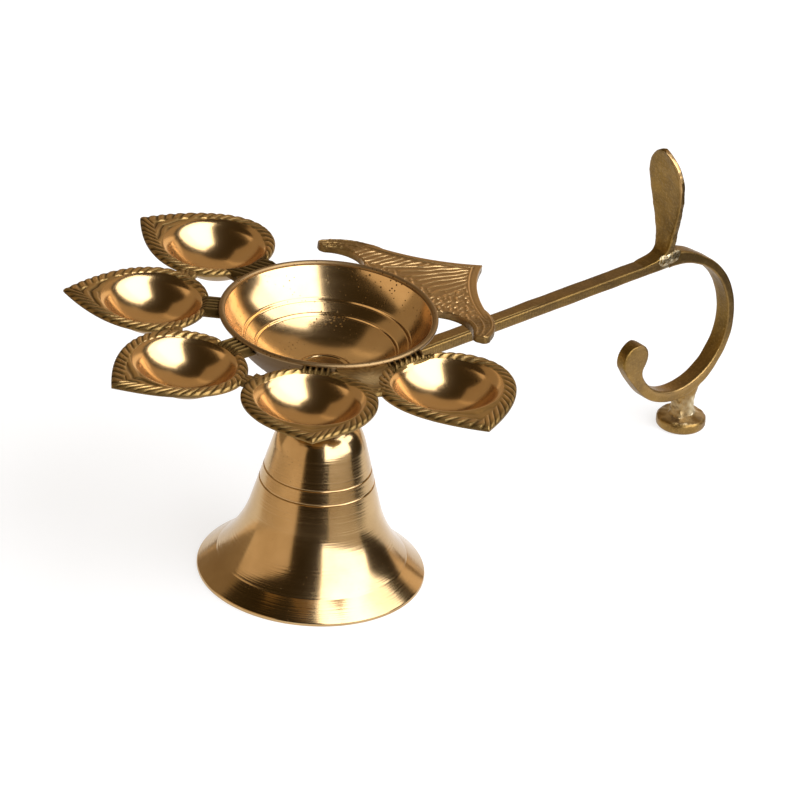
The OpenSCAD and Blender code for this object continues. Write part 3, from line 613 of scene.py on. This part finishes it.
def neck_skin(i):
    """Ribbed neck: a strip from the bowl's round wall to the lip of the cup, with cuts between its ribs.

    On the outermost leaves the cuts run aslant.
    """
    rows, columns = 24, 120
    width, reach = NECK_W[i], LEAF_REACH + LEAF_OUT[i]
    line = np.linspace(-width / 2.0, width / 2.0, columns)
    y = np.concatenate([line, line[::-1]])
    z = np.repeat((LEAF_Z + 0.45, LEAF_Z - 2.0), columns)
    top = np.repeat((True, False), columns)
    near = np.sqrt((BOWL_OUT_R + 0.05) ** 2 - (BOWL_OUT_Z - z) ** 2 - y ** 2) - reach
    far = -np.sqrt(((CUP_R + 0.45) * LEAF_SIZE[i]) ** 2 - y ** 2)
    t = np.linspace(0.0, 1.0, rows)[:, None]
    x = near + (far - near) * t
    cuts = np.abs(np.cos(np.pi * NECK_RIBS[i] * ((y + NECK_SLANT[i] * (x + 15.0)) / width + 0.5)))
    drop = top * (0.95 * cuts ** 3 + 0.5 * step_up(np.abs(y), width / 2 - 0.5, width / 2))
    drop = np.maximum(drop, top * 0.75 * step_up(t, 0.72, 1.0))
    rings = np.stack([x, np.broadcast_to(y, x.shape), z - drop], axis=-1)
    hollow = np.clip(0.6 + top * cuts ** 2, 0.0, 1.0) * 0.95
    worn = np.clip(top * (1.0 - 2.5 * cuts), 0.0, 1.0) * 0.25
    return rings, hollow, worn


def lug_skin(reach, spread, inwards, side):
    """Lug between two leaves: a thin plate that ends at the plane half way to the next leaf.

    It spreads outwards a little and inwards by a given length, at most up to the bowl's wall, and carries
    slanting twists like those of the leaves' edges, worn and uneven. Side is 1 or -1 for the way in that it
    lies. A lug that reaches far in has a spot of braze.
    """
    rows, columns = 60, 26
    low_x, high_x = 11.2, 14.6
    u = np.linspace(0.0, 1.0, columns)[None]
    v = np.linspace(0.0, 1.0, rows)[:, None]
    guess = low_x + (reach - low_x) * u
    wall = spread - np.sqrt(BOWL_LEVEL_R ** 2 - (guess - reach) ** 2)
    y = -LUG_OUT + (np.minimum(inwards, wall) + LUG_OUT) * v
    start = high_x - (high_x - low_x) * step_up(y, 4.0, 9.0)
    x = start + (reach - start) * u
    flat = np.stack([x, y, 0.0 * x], axis=-1)
    twist = teeth((0.7 * x + y) / 1.7 + 0.5 * uneven(flat, 3.5, 61), 0.5, 0.72)
    twist = twist * (1.0 - step_up(-y, LUG_OUT - 1.5, LUG_OUT - 0.4)) * (1.0 - 0.6 * step_up(y, 2.5, 4.5))
    fall = 0.45 * (step_up(-y, LUG_OUT - 0.7, LUG_OUT) + step_up(y, inwards - 0.7, inwards))
    top_z = LEAF_Z + 0.05 + 0.2 * twist + 0.1 * uneven(flat, 2.6, 62) - fall
    top = np.stack([x, side * y, top_z], axis=-1)
    bottom = np.stack([x, side * y, np.full(x.shape, LEAF_Z - LEAF_T)], axis=-1)[:, ::-1]
    rings = np.concatenate([top, bottom], axis=1)
    patch = ridge(y - 5.5, 2.6) * ridge(x - reach, 3.4) * (inwards > LUG_IN)
    hollow = np.concatenate([(0.25 + 0.35 * (1.0 - twist)) * (1.0 - patch), all_over(bottom, 0.3)], axis=1)
    worn = np.concatenate([0.2 * twist, all_over(bottom, 0.0)], axis=1)
    braze = np.concatenate([0.7 * patch, all_over(bottom, 0.0)], axis=1)
    return rings, hollow, worn, braze


def own_size(rings, i):
    """Rings of a leaf turned and made as large as this casting, measured from the leaf's face."""
    face = np.array([0.0, 0.0, LEAF_Z])
    return turn((rings - face) * LEAF_SIZE[i] + face, LEAF_TURN[i])


def place_leaf(rings, i):
    """Rings about a cup's centre, set at their leaf's place round the bowl."""
    out = rings.copy()
    out[..., 0] += LEAF_REACH + LEAF_OUT[i]
    return turn(out, LEAF_BEARING[i])


for i in range(5):
    rings, hollow, worn = leaf_skin(i)
    parts = [skin(place_leaf(own_size(rings, i), i), hollow=hollow, worn=worn)]
    rings, hollow, worn = neck_skin(i)
    parts.append(skin(place_leaf(rings, i), hollow=hollow, worn=worn))
    for other in (i - 1, i + 1):
        if 0 <= other < 5:
            half_gap = (LEAF_BEARING[other] - LEAF_BEARING[i]) / 2.0
            side = np.sign(half_gap)
            reach = (LEAF_REACH + LEAF_OUT[i]) * ray_at(abs(half_gap))
            inwards = WEB_IN if {i, other} == {3, 4} else LUG_IN
            rings, hollow, worn, braze = lug_skin(reach[1], reach[0], inwards, side)
            rings = place_leaf(turn(rings, half_gap + 90.0 * side), i)
            parts.append(skin(rings, hollow=hollow, worn=worn, braze=braze))
    piece(f"leaf_{i + 1}", f"leaf_cup_{i + 1}", leaf_finish, parts, sharp=60.0)


# Tail plate

EDGE_RUN = TAIL_CORNER - (TAIL_TIP, 0.0)
EDGE_LEN = np.linalg.norm(EDGE_RUN)
EDGE_R = EDGE_LEN ** 2 / (8.0 * TAIL_HOLLOW) + TAIL_HOLLOW / 2.0
EDGE_OUT = np.array([EDGE_RUN[1], -EDGE_RUN[0]]) / EDGE_LEN
EDGE_C = np.array([TAIL_TIP, 0.0]) + EDGE_RUN / 2.0 + (EDGE_R - TAIL_HOLLOW) * EDGE_OUT


def tail_sides(bowl_r, horn_end):
    """Inner and outer edge of half the plate, from its middle line to the end of the horn.

    The inner edge follows the bowl and then the inner curve of the horn. The outer edge follows the hollow
    side of the plate to its corner and then the outer curve of the horn. The last part narrows to a round
    end.
    """
    long, short, cap = 150, 70, 14
    gap = np.hypot(*HORN)
    aside = np.degrees(np.arccos((bowl_r ** 2 + gap ** 2 - HORN_IN ** 2) / (2.0 * bowl_r * gap)))
    meet = angle_of(HORN) - aside
    split = angle_of(TAIL_CORNER - HORN) - 360.0
    inner = by_length(np.concatenate([
        arc((0.0, 0.0), bowl_r, 0.0, meet, 80),
        arc(HORN, HORN_IN, angle_of(bowl_r * ray_at(meet) - HORN) - 360.0, split, 80)]), long)
    outer = by_length(arc(
        EDGE_C, EDGE_R, angle_of((TAIL_TIP, 0.0) - EDGE_C), angle_of(TAIL_CORNER - EDGE_C), 200), long)
    apart, ray = HORN - HORN_BACK, ray_at(horn_end)
    far = -(apart @ ray) + np.sqrt((apart @ ray) ** 2 - apart @ apart + HORN_OUT ** 2)
    horn_inner = arc(HORN, HORN_IN, split, horn_end, short + 1)[1:]
    horn_outer = arc(HORN_BACK, HORN_OUT, angle_of(TAIL_CORNER - HORN_BACK),
                     angle_of(HORN + far * ray - HORN_BACK), short + 1)[1:]
    t = np.linspace(0.0, 1.0, cap + 1)[1:-1]
    middle, half = (HORN_IN + far) / 2.0, (far - HORN_IN) / 2.0
    rays = ray_at(horn_end + np.degrees(t * half / middle))
    bulge = (half * np.sqrt(1.0 - t ** 2))[:, None]
    inner = np.concatenate([inner, horn_inner, HORN + rays * (middle - bulge)])
    outer = np.concatenate([outer, horn_outer, HORN + rays * (middle + bulge)])
    return inner, outer


def tail_skin():
    """Skin of the tail plate: rows run across it from the bowl to its outer edge and back underneath.

    A spine runs in from the tip. On its near side thin barbs fan out, on its far side they lie side by side.
    A plain border follows each hollow edge, with a thin line inside it, and lines run along each horn. The
    rest of the face is stippled with a punch. The near horn is a little shorter.
    """
    far_sides = tail_sides(TAIL_TOP_R, FAR_HORN_END) + tail_sides(TAIL_LOW_R, FAR_HORN_END)
    near_sides = tail_sides(TAIL_TOP_R, NEAR_HORN_END) + tail_sides(TAIL_LOW_R, NEAR_HORN_END)
    mirror = np.array([1.0, -1.0])
    inner, outer, low_inner, low_outer = (
        np.concatenate([near[:0:-1] * mirror, far]) for near, far in zip(near_sides, far_sides))
    q = 0.5 - 0.5 * np.cos(np.linspace(0.0, np.pi, 150))
    flat = inner[None] * (1.0 - q[:, None, None]) + outer[None] * q[:, None, None]
    level = at_height(flat, 0.0)
    x, y = flat[..., 0], np.abs(flat[..., 1])

    # Where each point lies
    from_edge = np.hypot(x - EDGE_C[0], y - EDGE_C[1]) - EDGE_R
    from_bowl = np.hypot(x, y) - TAIL_TOP_R
    from_tip = np.hypot(TAIL_TIP - x, y)
    horn_inside = np.hypot(x - HORN[0], y - HORN[1]) - HORN_IN
    horn_outside = HORN_OUT - np.hypot(x - HORN_BACK[0], y - HORN_BACK[1])
    on_horn = step_up(np.degrees(np.arctan2(y - HORN[1], x - HORN[0])), -2.0, 16.0)
    inside = step_up(from_edge, 2.4, 3.2) * (1.0 - on_horn)
    ragged = 1.2 * uneven(level, 4.0, 73)
    fan = np.degrees(np.arctan2(flat[..., 1] - FAN[1], FAN[0] - x))
    ribbed = inside * step_up(from_bowl + ragged, 3.0, 4.4) * step_up(from_tip, 2.5, 5.0)
    ribbed = ribbed * step_up(fan + 3.0 * ragged, -6.0, -3.0)
    stippled = np.maximum(inside * (1.0 - ribbed), 0.3 * on_horn)

    # What stands up there
    border = (1.0 - step_up(from_edge, 1.5, 1.9)) * (1.0 - on_horn)
    line = ridge(from_edge - 2.3, 0.22) * (1.0 - on_horn)
    horn_lines = on_horn * (
        ridge(horn_inside - 0.9, 0.25) + ridge(horn_outside - 0.9, 0.25)
        + ridge(horn_inside - horn_outside, 0.5))
    barbs = np.where(fan < SPINE, (fan - SPINE) / 4.6, (flat[..., 1] + 0.06 * x) / 1.7)
    feather = np.abs(np.cos(np.pi * (barbs + 0.22 * uneven(level, 6.0, 72)))) ** 5
    feather = np.maximum(feather, ridge(fan - SPINE, 0.7)) * ribbed
    spots = np.clip(1.7 * uneven(level, 1.5, 71), 0.0, 1.0) * stippled
    relief = 0.22 * border + 0.2 * line + 0.2 * horn_lines + 0.34 * feather + 0.3 * spots
    to_side = np.minimum(q, 1.0 - q)[:, None] * np.linalg.norm(outer - inner, axis=1)[None]
    fall = 0.45 * (1.0 - np.sqrt(np.clip(1.0 - (1.0 - np.clip(to_side / 0.45, 0.0, 1.0)) ** 2, 0.0, 1.0)))

    top = at_height(flat, relief - fall)
    q_low = np.linspace(1.0, 0.0, 10)[:, None, None]
    under = at_height(low_inner[None] * (1.0 - q_low) + low_outer[None] * q_low, -TAIL_T)
    rest = np.concatenate([0.5 * (top[-1:] + under[:1]), under])
    raised = np.clip(border + line + horn_lines + feather + spots, 0.0, 1.0)
    rubbed = (0.66 + 0.3 * raised ** 2) * (1.0 - 0.45 * border) * (1.0 - 0.6 * on_horn)
    hollow = np.concatenate([0.25 * (1.0 - raised), all_over(rest, 0.2)]).T
    worn = np.concatenate([rubbed, all_over(rest, 0.1)]).T
    rings = np.concatenate([top, rest]).transpose(1, 0, 2)
    tilt = np.radians(TAIL_TILT)
    placed = rings.copy()
    placed[..., 0] = HORN[0] + (rings[..., 0] - HORN[0]) * np.cos(tilt) + rings[..., 2] * np.sin(tilt)
    placed[..., 2] = TAIL_Z - (rings[..., 0] - HORN[0]) * np.sin(tilt) + rings[..., 2] * np.cos(tilt)
    return skin(placed, hollow=hollow, worn=worn)


piece("tail", "tail_plate", cast_finish, [tail_skin()], sharp=60.0)


# Handle

ALONG_X, ALONG_Y, ALONG_Z = np.eye(3)


def loft(centre, side, up, half_side, half_up, power, columns):
    """Rings of rounded rectangles along a line: centre plus side and up, each times its half size.

    A power of 1 gives an ellipse and a smaller one a squarer section.
    """
    a = np.linspace(0.0, 2.0 * np.pi, columns, endpoint=False)[None, :, None]
    side, up = side[..., None, :], up[..., None, :]
    across = signed_power(np.cos(a), power) * half_side[:, None, None] * side
    above = signed_power(np.sin(a), power) * half_up[:, None, None] * up
    return centre[:, None, :] + across + above


def swell(rings, size, height, seed):
    """Rings with the unevenness of a casting, moved out from the middle of each ring."""
    out = rings - rings.mean(axis=1, keepdims=True)
    out /= np.maximum(np.linalg.norm(out, axis=-1, keepdims=True), 1e-6)
    return rings + out * (height * uneven(rings, size, seed))[..., None]


def bar_skins():
    """The bar, a rounded rectangle that tapers along X, with a filed groove along its near upper edge.

    File marks show as waves of dirt across it, stronger on the side face, which is painted darker than the
    top as shade; the top darkens towards the thumb end. Its eye is a turned ring with a counterbore for the
    head of the stud.
    """
    x = np.linspace(5.0, BAR_LEN + 0.3, 300)
    thick = BAR_T - (BAR_T - BAR_T_END) * np.clip((x - COLLAR_R) / (BAR_LEN - COLLAR_R), 0.0, 1.0)
    wide = BAR_W - (BAR_W - BAR_W_END) * x / BAR_LEN
    centre = np.stack([x, 0.0 * x, BAR_TOP - thick / 2.0], axis=-1)
    rings = swell(loft(centre, ALONG_Y, ALONG_Z, wide / 2.0, thick / 2.0, 0.32, 96), 9.0, 0.07, 81)
    y, z = rings[..., 1], rings[..., 2]
    upper = step_up(z, BAR_TOP - 0.8, BAR_TOP - 0.1)
    lengthwise = step_up(x, 8.0, 16.0) * step_up(-x, -86.0, -62.0)
    line = ridge(y + 1.55, 0.22) * upper * lengthwise[:, None]
    rings[..., 2] -= 0.4 * line
    file_marks = np.cos(2.0 * np.pi * (x[:, None] + 0.5 * y) / 0.9 + 2.0 * np.sin(x[:, None] / 5.0))
    dark_end = step_up(x, 60.0, 105.0)[:, None]
    # Painted shade: the side face takes more of the dark tint than the top; the top darkens towards the
    # thumb end
    grime_and_shade = line + (0.3 - 0.2 * upper) * (0.5 + 0.5 * file_marks) + 0.35 * upper * dark_end
    worn = 0.2 - 0.05 * step_up(-y, 1.7, 2.1)
    braze = 0.45 * step_up(x, 117.5, 120.5)[:, None]
    seat = BAR_TOP - STUD_HEAD_T
    eye = rounded([
        (STUD_HOLE_R, BELL_H), (COLLAR_R, BELL_H), (COLLAR_R, BAR_TOP), (STUD_HEAD_R, BAR_TOP),
        (STUD_HEAD_R, seat), (STUD_HOLE_R, seat), (STUD_HOLE_R, BELL_H)], 0.25)[1:-1]
    return [skin(rings, hollow=np.clip(grime_and_shade, 0.0, 1.0), worn=worn, braze=braze),
            revolve(eye, 128, ring_closes=True)]


def thumb_skin():
    """The thumb rest: rounded sections stacked up its height, widest near the top, leaning to the lamp.

    A hollow fillet runs from its front down onto the bar, and its front is slightly dished.
    """
    height, wide_at, lean = 33.0, 0.72, 4.2
    low_half, wide_half, low_t, top_t = 2.7, 6.4, 2.7, 1.7
    t = np.concatenate([np.linspace(-0.02, 0.9, 160), 1.0 - 0.1 * np.linspace(1.0, 0.02, 40)[1:] ** 2])
    up = np.clip(t, 0.0, 1.0)
    widening = low_half + (wide_half - low_half) * step_up(up, 0.0, wide_at)
    round_top = np.clip(1.0 - ((up - wide_at) / (1.0 - wide_at)) ** 2, 0.0, 1.0) ** 0.65
    half = np.where(up < wide_at, widening, wide_half * round_top)
    thick = (low_t - (low_t - top_t) * up) * np.minimum(1.0, 0.45 + half / 2.2)
    rise = np.maximum(t, 0.0) * height
    deep = thick + 3.6 * np.exp(-rise / 1.5) + 5.0 * np.exp(-rise / 0.5)
    centre = np.stack([BAR_LEN - lean * up ** 2 - deep / 2.0, 0.0 * t, BAR_TOP + height * t], axis=-1)
    half = np.where(t < 0.1, half - 0.35 * (1.0 - t / 0.1), half)
    rings = loft(centre, ALONG_Y, ALONG_X, half, deep / 2.0, 0.4, 120)
    rings = swell(swell(rings, 5.0, 0.09, 91), 1.6, 0.05, 92)
    y = rings[..., 1] / np.maximum(half, 0.5)[:, None]
    front = step_up(centre[:, :1] - rings[..., 0], 0.0, 0.5)
    rings[..., 0] += 0.3 * front * (1.0 - y ** 2) * step_up(t, 0.15, 0.5)[:, None]
    rim = step_up(np.abs(y), 0.86, 0.97)
    # Rubbed rim, with a painted highlight along the upper part of the near edge
    worn = rim * (0.1 + 0.5 * (y < 0.0) * step_up(t, 0.5, 0.75)[:, None])
    hollow = 0.3 * front * (1.0 - np.abs(y)) * step_up(-t, -0.7, -0.1)[:, None]
    return skin(rings, worn=worn, hollow=hollow)


CURL_C1 = np.array([BAR_LEN, BAR_TOP - BAR_T_END - BRAZE_GAP - CURL_R[0]])
CURL_C2 = CURL_C1 + (CURL_R[0] - CURL_R[1], 0.0)
CURL_C3 = CURL_C2 - (0.0, CURL_R[1] - CURL_R[2])


def curl_edge(a, out):
    """Edge of the curl at an angle: three arcs that tighten, inner (0) or outer (1) by its thickness."""
    centre = np.where((a > 0.0)[:, None], CURL_C1, np.where((a > -90.0)[:, None], CURL_C2, CURL_C3))
    radius = np.where(a > 0.0, CURL_R[0], np.where(a > -90.0, CURL_R[1], CURL_R[2]))
    return centre + (radius + out * np.interp(a, CURL_T_AT, CURL_T))[:, None] * ray_at(a)


def curl_line(a, out, bend, rim):
    """Edge of the strip along some angles, and a quadratic curve onto a rim of the bulb, as (x, 0, z)."""
    edge = curl_edge(a, out)
    t = np.linspace(0.0, 1.0, 30)[1:-1, None]
    return np.insert(np.concatenate([edge, bent(edge[-1], bend, rim[0], t), rim]), 1, 0.0, axis=1)


def curl_skin():
    """The finger curl: a rounded strip along three arcs, which narrows towards its end.

    Its two edges bend over smoothly into the two sides of a flat round bulb.
    """
    a = np.linspace(93.0, -150.0, 240)
    bulb = curl_edge(np.array([CURL_T_AT[0]]), 0.0)[0] + BULB_SET
    inner = curl_line(a, 0.0, bulb + (2.24, -4.54), arc(bulb, BULB_R, -39.0, 76.0, 50))
    outer = curl_line(a, 1.0, bulb + (-2.1, -5.5), arc(bulb, BULB_R, 210.0, 80.0, 50))
    centre = (inner + outer) / 2.0
    out = outer - inner
    thick = np.linalg.norm(out, axis=1)
    out /= thick[:, None]
    lower = step_up(-centre[:, 2], -CURL_C1[1] - 4.0, -CURL_C1[1])
    half = 2.5 - 0.8 * np.clip((130.5 - centre[:, 0]) / 22.0, 0.0, 1.0) * lower
    rings = swell(loft(centre, ALONG_Y, out, half, thick / 2.0, 0.3, 96), 6.0, 0.08, 101)
    y = rings[..., 1] / half[:, None]
    inside = ((rings - centre[:, None]) * out[:, None]).sum(axis=-1) < 0.0
    low = step_up(-rings[..., 2], -24.0, -14.0)
    # Paler rubbed near edge; inside the curl, a painted highlight low down and painted shade under its top
    worn = step_up(-y, 0.8, 0.97) * 0.15 + 0.12 * inside * low
    hollow = np.clip(0.3 * inside * (1.0 - np.abs(y)) * (1.0 - low), 0.0, 1.0)
    return skin(rings, worn=worn, hollow=hollow)


def post_skin():
    """The post under the curl: rounded sections that widen up into the curl and down onto the foot."""
    z = np.linspace(POST_LOW, POST_TOP, 60)
    flare = 3.4 * np.exp((z - POST_TOP) / 1.9)
    skirt = 1.2 * np.exp(POST_LOW + 0.2 - z)
    centre = np.stack([np.full(60, FOOT_X), 0.0 * z, z], axis=-1)
    rings = loft(centre, ALONG_Y, ALONG_X, 2.3 + skirt, 2.85 + flare + skirt, 0.55, 72)
    rings = swell(swell(rings, 4.0, 0.16, 105), 1.4, 0.14, 106)
    spots = 0.6 + 0.4 * uneven(rings, 1.6, 108)
    # Painted highlight: the braze is fullest on the side that faces the light
    highlight_side = 0.25 + 0.75 * step_up(rings[..., 0], FOOT_X - 1.0, FOOT_X + 2.0)
    braze = np.clip(step_up(-z, -10.5, -7.5)[:, None] * spots * highlight_side, 0.0, 1.0)
    return skin(rings, worn=0.15, braze=braze)


def braze_skin():
    """Rough spot of braze on the near side of the bar's end: an uneven, flat ellipsoid."""
    middle = np.array([BAR_LEN - 1.6, -2.1, BAR_TOP + 0.1])
    half_long, half_flat, half_high, slope = 4.3, 0.85, 2.1, 0.2
    a = np.linspace(0.0, 2.0 * np.pi, 60, endpoint=False)
    s = np.linspace(-0.5 * np.pi, 0.5 * np.pi, 30)[:, None]
    x, y, z = np.cos(s) * np.cos(a), np.sin(s) + 0.0 * a, np.cos(s) * np.sin(a)
    blob = middle + np.stack([half_long * x, half_flat * y, half_high * z + slope * x], axis=-1)
    blob = swell(swell(blob, 2.6, 0.45, 111), 1.1, 0.3, 112)
    return skin(blob, braze=np.clip(0.35 + 0.7 * uneven(blob, 1.1, 113), 0.0, 1.0))


def foot_skin():
    """The foot: a low turned drum with rounded edges, uneven where it was brazed on."""
    profile = np.concatenate([
        [(POLE_R, 0.0), (3.0, 0.0)], arc((FOOT_R, FOOT_EDGE), FOOT_EDGE, -90.0, 0.0, 12),
        arc((FOOT_R, 2.3), FOOT_EDGE, 0.0, 80.0, 12),
        [(5.0, 3.55), (4.2, 3.75), (3.0, 4.0), (1.6, 4.1), (POLE_R, 4.1)]])
    rings = turned_rings(profile, 128)
    rings[..., 0] += FOOT_X
    lift = step_up(rings[..., 2], 0.2, 1.2)
    rings[..., :2] += (0.2 * uneven(rings, 5.0, 107) * lift)[..., None]
    rings[..., 2] += (0.25 * uneven(rings, 3.4, 109) + 0.1 * uneven(rings, 1.3, 110)) * lift
    spots = np.clip(0.35 + 0.35 * uneven(rings, 3.0, 114), 0.0, 1.0)
    return skin(rings, worn=0.12, braze=step_up(rings[..., 2], 3.0, 4.0) * spots)


piece("bar", "handle_bar", cast_finish, bar_skins())
piece("thumb_plate", "thumb_rest", cast_finish, [thumb_skin()])
piece("curl", "finger_curl", cast_finish, [curl_skin(), post_skin(), braze_skin()])
piece("foot", "handle_foot", cast_finish, [foot_skin()])

# The fixing inside the bell keeps its solids
for node in ("stand_washer", "stand_nut", "center_stud"):
    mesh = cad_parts[node].data
    mesh.materials.clear()
    mesh.materials.append(bell_finish)


# Camera, found from the round rims in the photograph: angles, and where it aims from the lamp's axis

AZIMUTH, ELEVATION, ROLL = np.radians((-43.590, 29.272, 4.411))
DISTANCE, LENS, SENSOR = 2000.0, 345.9, 36.0
AIM_RIGHT, AIM_UP, AIM_Z = 20.845, 9.289, 40.0
level = np.array([np.cos(AZIMUTH), np.sin(AZIMUTH), 0.0])
towards = np.array([np.sin(AZIMUTH), -np.cos(AZIMUTH), 0.0])
back = np.cos(ELEVATION) * towards + (0.0, 0.0, np.sin(ELEVATION))
upright = np.cross(back, level)
right = np.cos(ROLL) * level + np.sin(ROLL) * upright
up = -np.sin(ROLL) * level + np.cos(ROLL) * upright
aim = AIM_RIGHT * right + AIM_UP * up + (0.0, 0.0, AIM_Z)


def pose(axes, spot):
    """Matrix that sets an object's own X, Y and Z along three axes, at a spot in metres."""
    rows = np.concatenate([np.stack([*axes, spot], axis=1), [[0.0, 0.0, 0.0, 1.0]]])
    return Matrix(rows.tolist())


camera = in_scene("camera", bpy.data.cameras.new("camera"))
camera.data.lens = LENS
camera.data.sensor_width = SENSOR
camera.data.clip_end = 20.0
camera.matrix_world = pose((right, up, back), (aim + back * DISTANCE) * MM)
bpy.context.scene.camera = camera


# Floor and light


def slab(name, material, half_wide, front, behind, top, thick):
    """A flat slab in line with the camera: half its width each way, and its reach in front and behind."""
    wide = np.array([half_wide, -half_wide, -half_wide, half_wide])[:, None] * level
    deep = np.array([behind, behind, -front, -front])[:, None] * -towards
    ring = wide + deep + AIM_RIGHT * level
    points, quads, tris = skin(np.stack([ring + (0.0, 0.0, top), ring + (0.0, 0.0, top - thick)]))[:3]
    mesh = bpy.data.meshes.new(name)
    mesh.from_pydata((points * MM).tolist(), [], quads.tolist() + tris.tolist())
    mesh.materials.append(material)
    made = in_scene(name, mesh)


# Matt grey paper, lifted to white where the camera or the metal looks at it, with its shadow kept
PAPER_LIFT = 0.77
paper_finish, tree, paper = matt("matt_grey_paper", "#9C9B99", "#A09F9D", grain_mm=3.0, detail=2.0)
sees = add(tree, "LightPath").outputs
seen = add(tree, "Math", {0: sees["Is Camera Ray"], 1: sees["Is Glossy Ray"]}, operation="MAXIMUM")
seen = add(tree, "Math", {0: seen, 1: sees["Is Transmission Ray"]}, operation="MAXIMUM")
lift = add(tree, "Math", {0: seen, 1: PAPER_LIFT}, operation="MULTIPLY")
glow = add(tree, "Emission", {"Strength": lift})
both = add(tree, "AddShader", {0: paper, 1: glow})
add(tree, "OutputMaterial", {"Surface": both})
slab("table", paper_finish, half_wide=134.0, front=135.0, behind=420.0, top=0.0, thick=20.0)

# Floor of the room, far below the table
room_finish, tree, screed = matt("grey_floor_screed", "#8A857E", "#98928A", grain_mm=40.0, detail=4.0)
add(tree, "OutputMaterial", {"Surface": screed})
slab("room_floor", room_finish, half_wide=4000.0, front=4000.0, behind=4000.0, top=-700.0, thick=10.0)

world = bpy.data.worlds.new("studio")
world.use_nodes = True
sky = world.node_tree.nodes["Background"].inputs
sky["Color"].default_value = linear("#685839")
sky["Strength"].default_value = 0.29
bpy.context.scene.world = world

CAMERA_BEARING = np.degrees(np.arctan2(back[1], back[0]))
DAYLIGHT, PALE_SILL, PALE_WALL, WARM_WALL = "#F1F5FF", "#FFF3E0", "#FFE6C6", "#FFE2BB"


def panel(name, colour, aside, low, high, spread, away, radiance):
    """An upright soft panel that faces the lamp, with its place given as angles seen from the lamp.

    It stands some metres away, aside degrees to the right of the camera, reaches from one elevation to
    another and spreads to both sides. Its power is radiance times pi times its area.
    """
    light = bpy.data.lights.new(name, "AREA")
    light.shape = "RECTANGLE"
    bottom, top = away * np.tan(np.radians((low, high)))
    light.size = 2.0 * away * np.tan(np.radians(spread))
    light.size_y = top - bottom
    light.energy = radiance * np.pi * light.size * light.size_y
    light.color = linear(colour)[:3]
    out = np.append(ray_at(CAMERA_BEARING + aside), 0.0)
    across = np.array([-out[1], out[0], 0.0])
    made = in_scene(name, light)
    made.matrix_world = pose((across, ALONG_Z, out), out * away + (0.0, 0.0, (bottom + top) / 2.0))


panel("window", DAYLIGHT, aside=51.0, low=8.5, high=78.0, spread=34.0, away=0.8, radiance=4.8)
panel("window_side", DAYLIGHT, aside=98.0, low=24.0, high=74.0, spread=13.0, away=0.8, radiance=3.8)
panel("window_sill", PALE_SILL, aside=54.0, low=-6.0, high=6.0, spread=28.0, away=0.8, radiance=0.6)
panel("left_low_fill", PALE_WALL, aside=-82.0, low=-16.0, high=-4.0, spread=56.0, away=1.0, radiance=0.66)
panel("left_fill", PALE_WALL, aside=-65.0, low=-4.0, high=34.0, spread=35.0, away=1.05, radiance=0.84)
panel("left_back_fill", WARM_WALL, aside=-126.0, low=-10.0, high=58.0, spread=25.0, away=1.1, radiance=0.32)
panel("back_fill", WARM_WALL, aside=172.0, low=4.0, high=66.0, spread=43.0, away=1.0, radiance=0.4)
panel("right_back_fill", PALE_WALL, aside=150.0, low=-10.0, high=24.0, spread=24.0, away=1.1, radiance=0.68)

bpy.context.scene.view_settings.view_transform = "Standard"
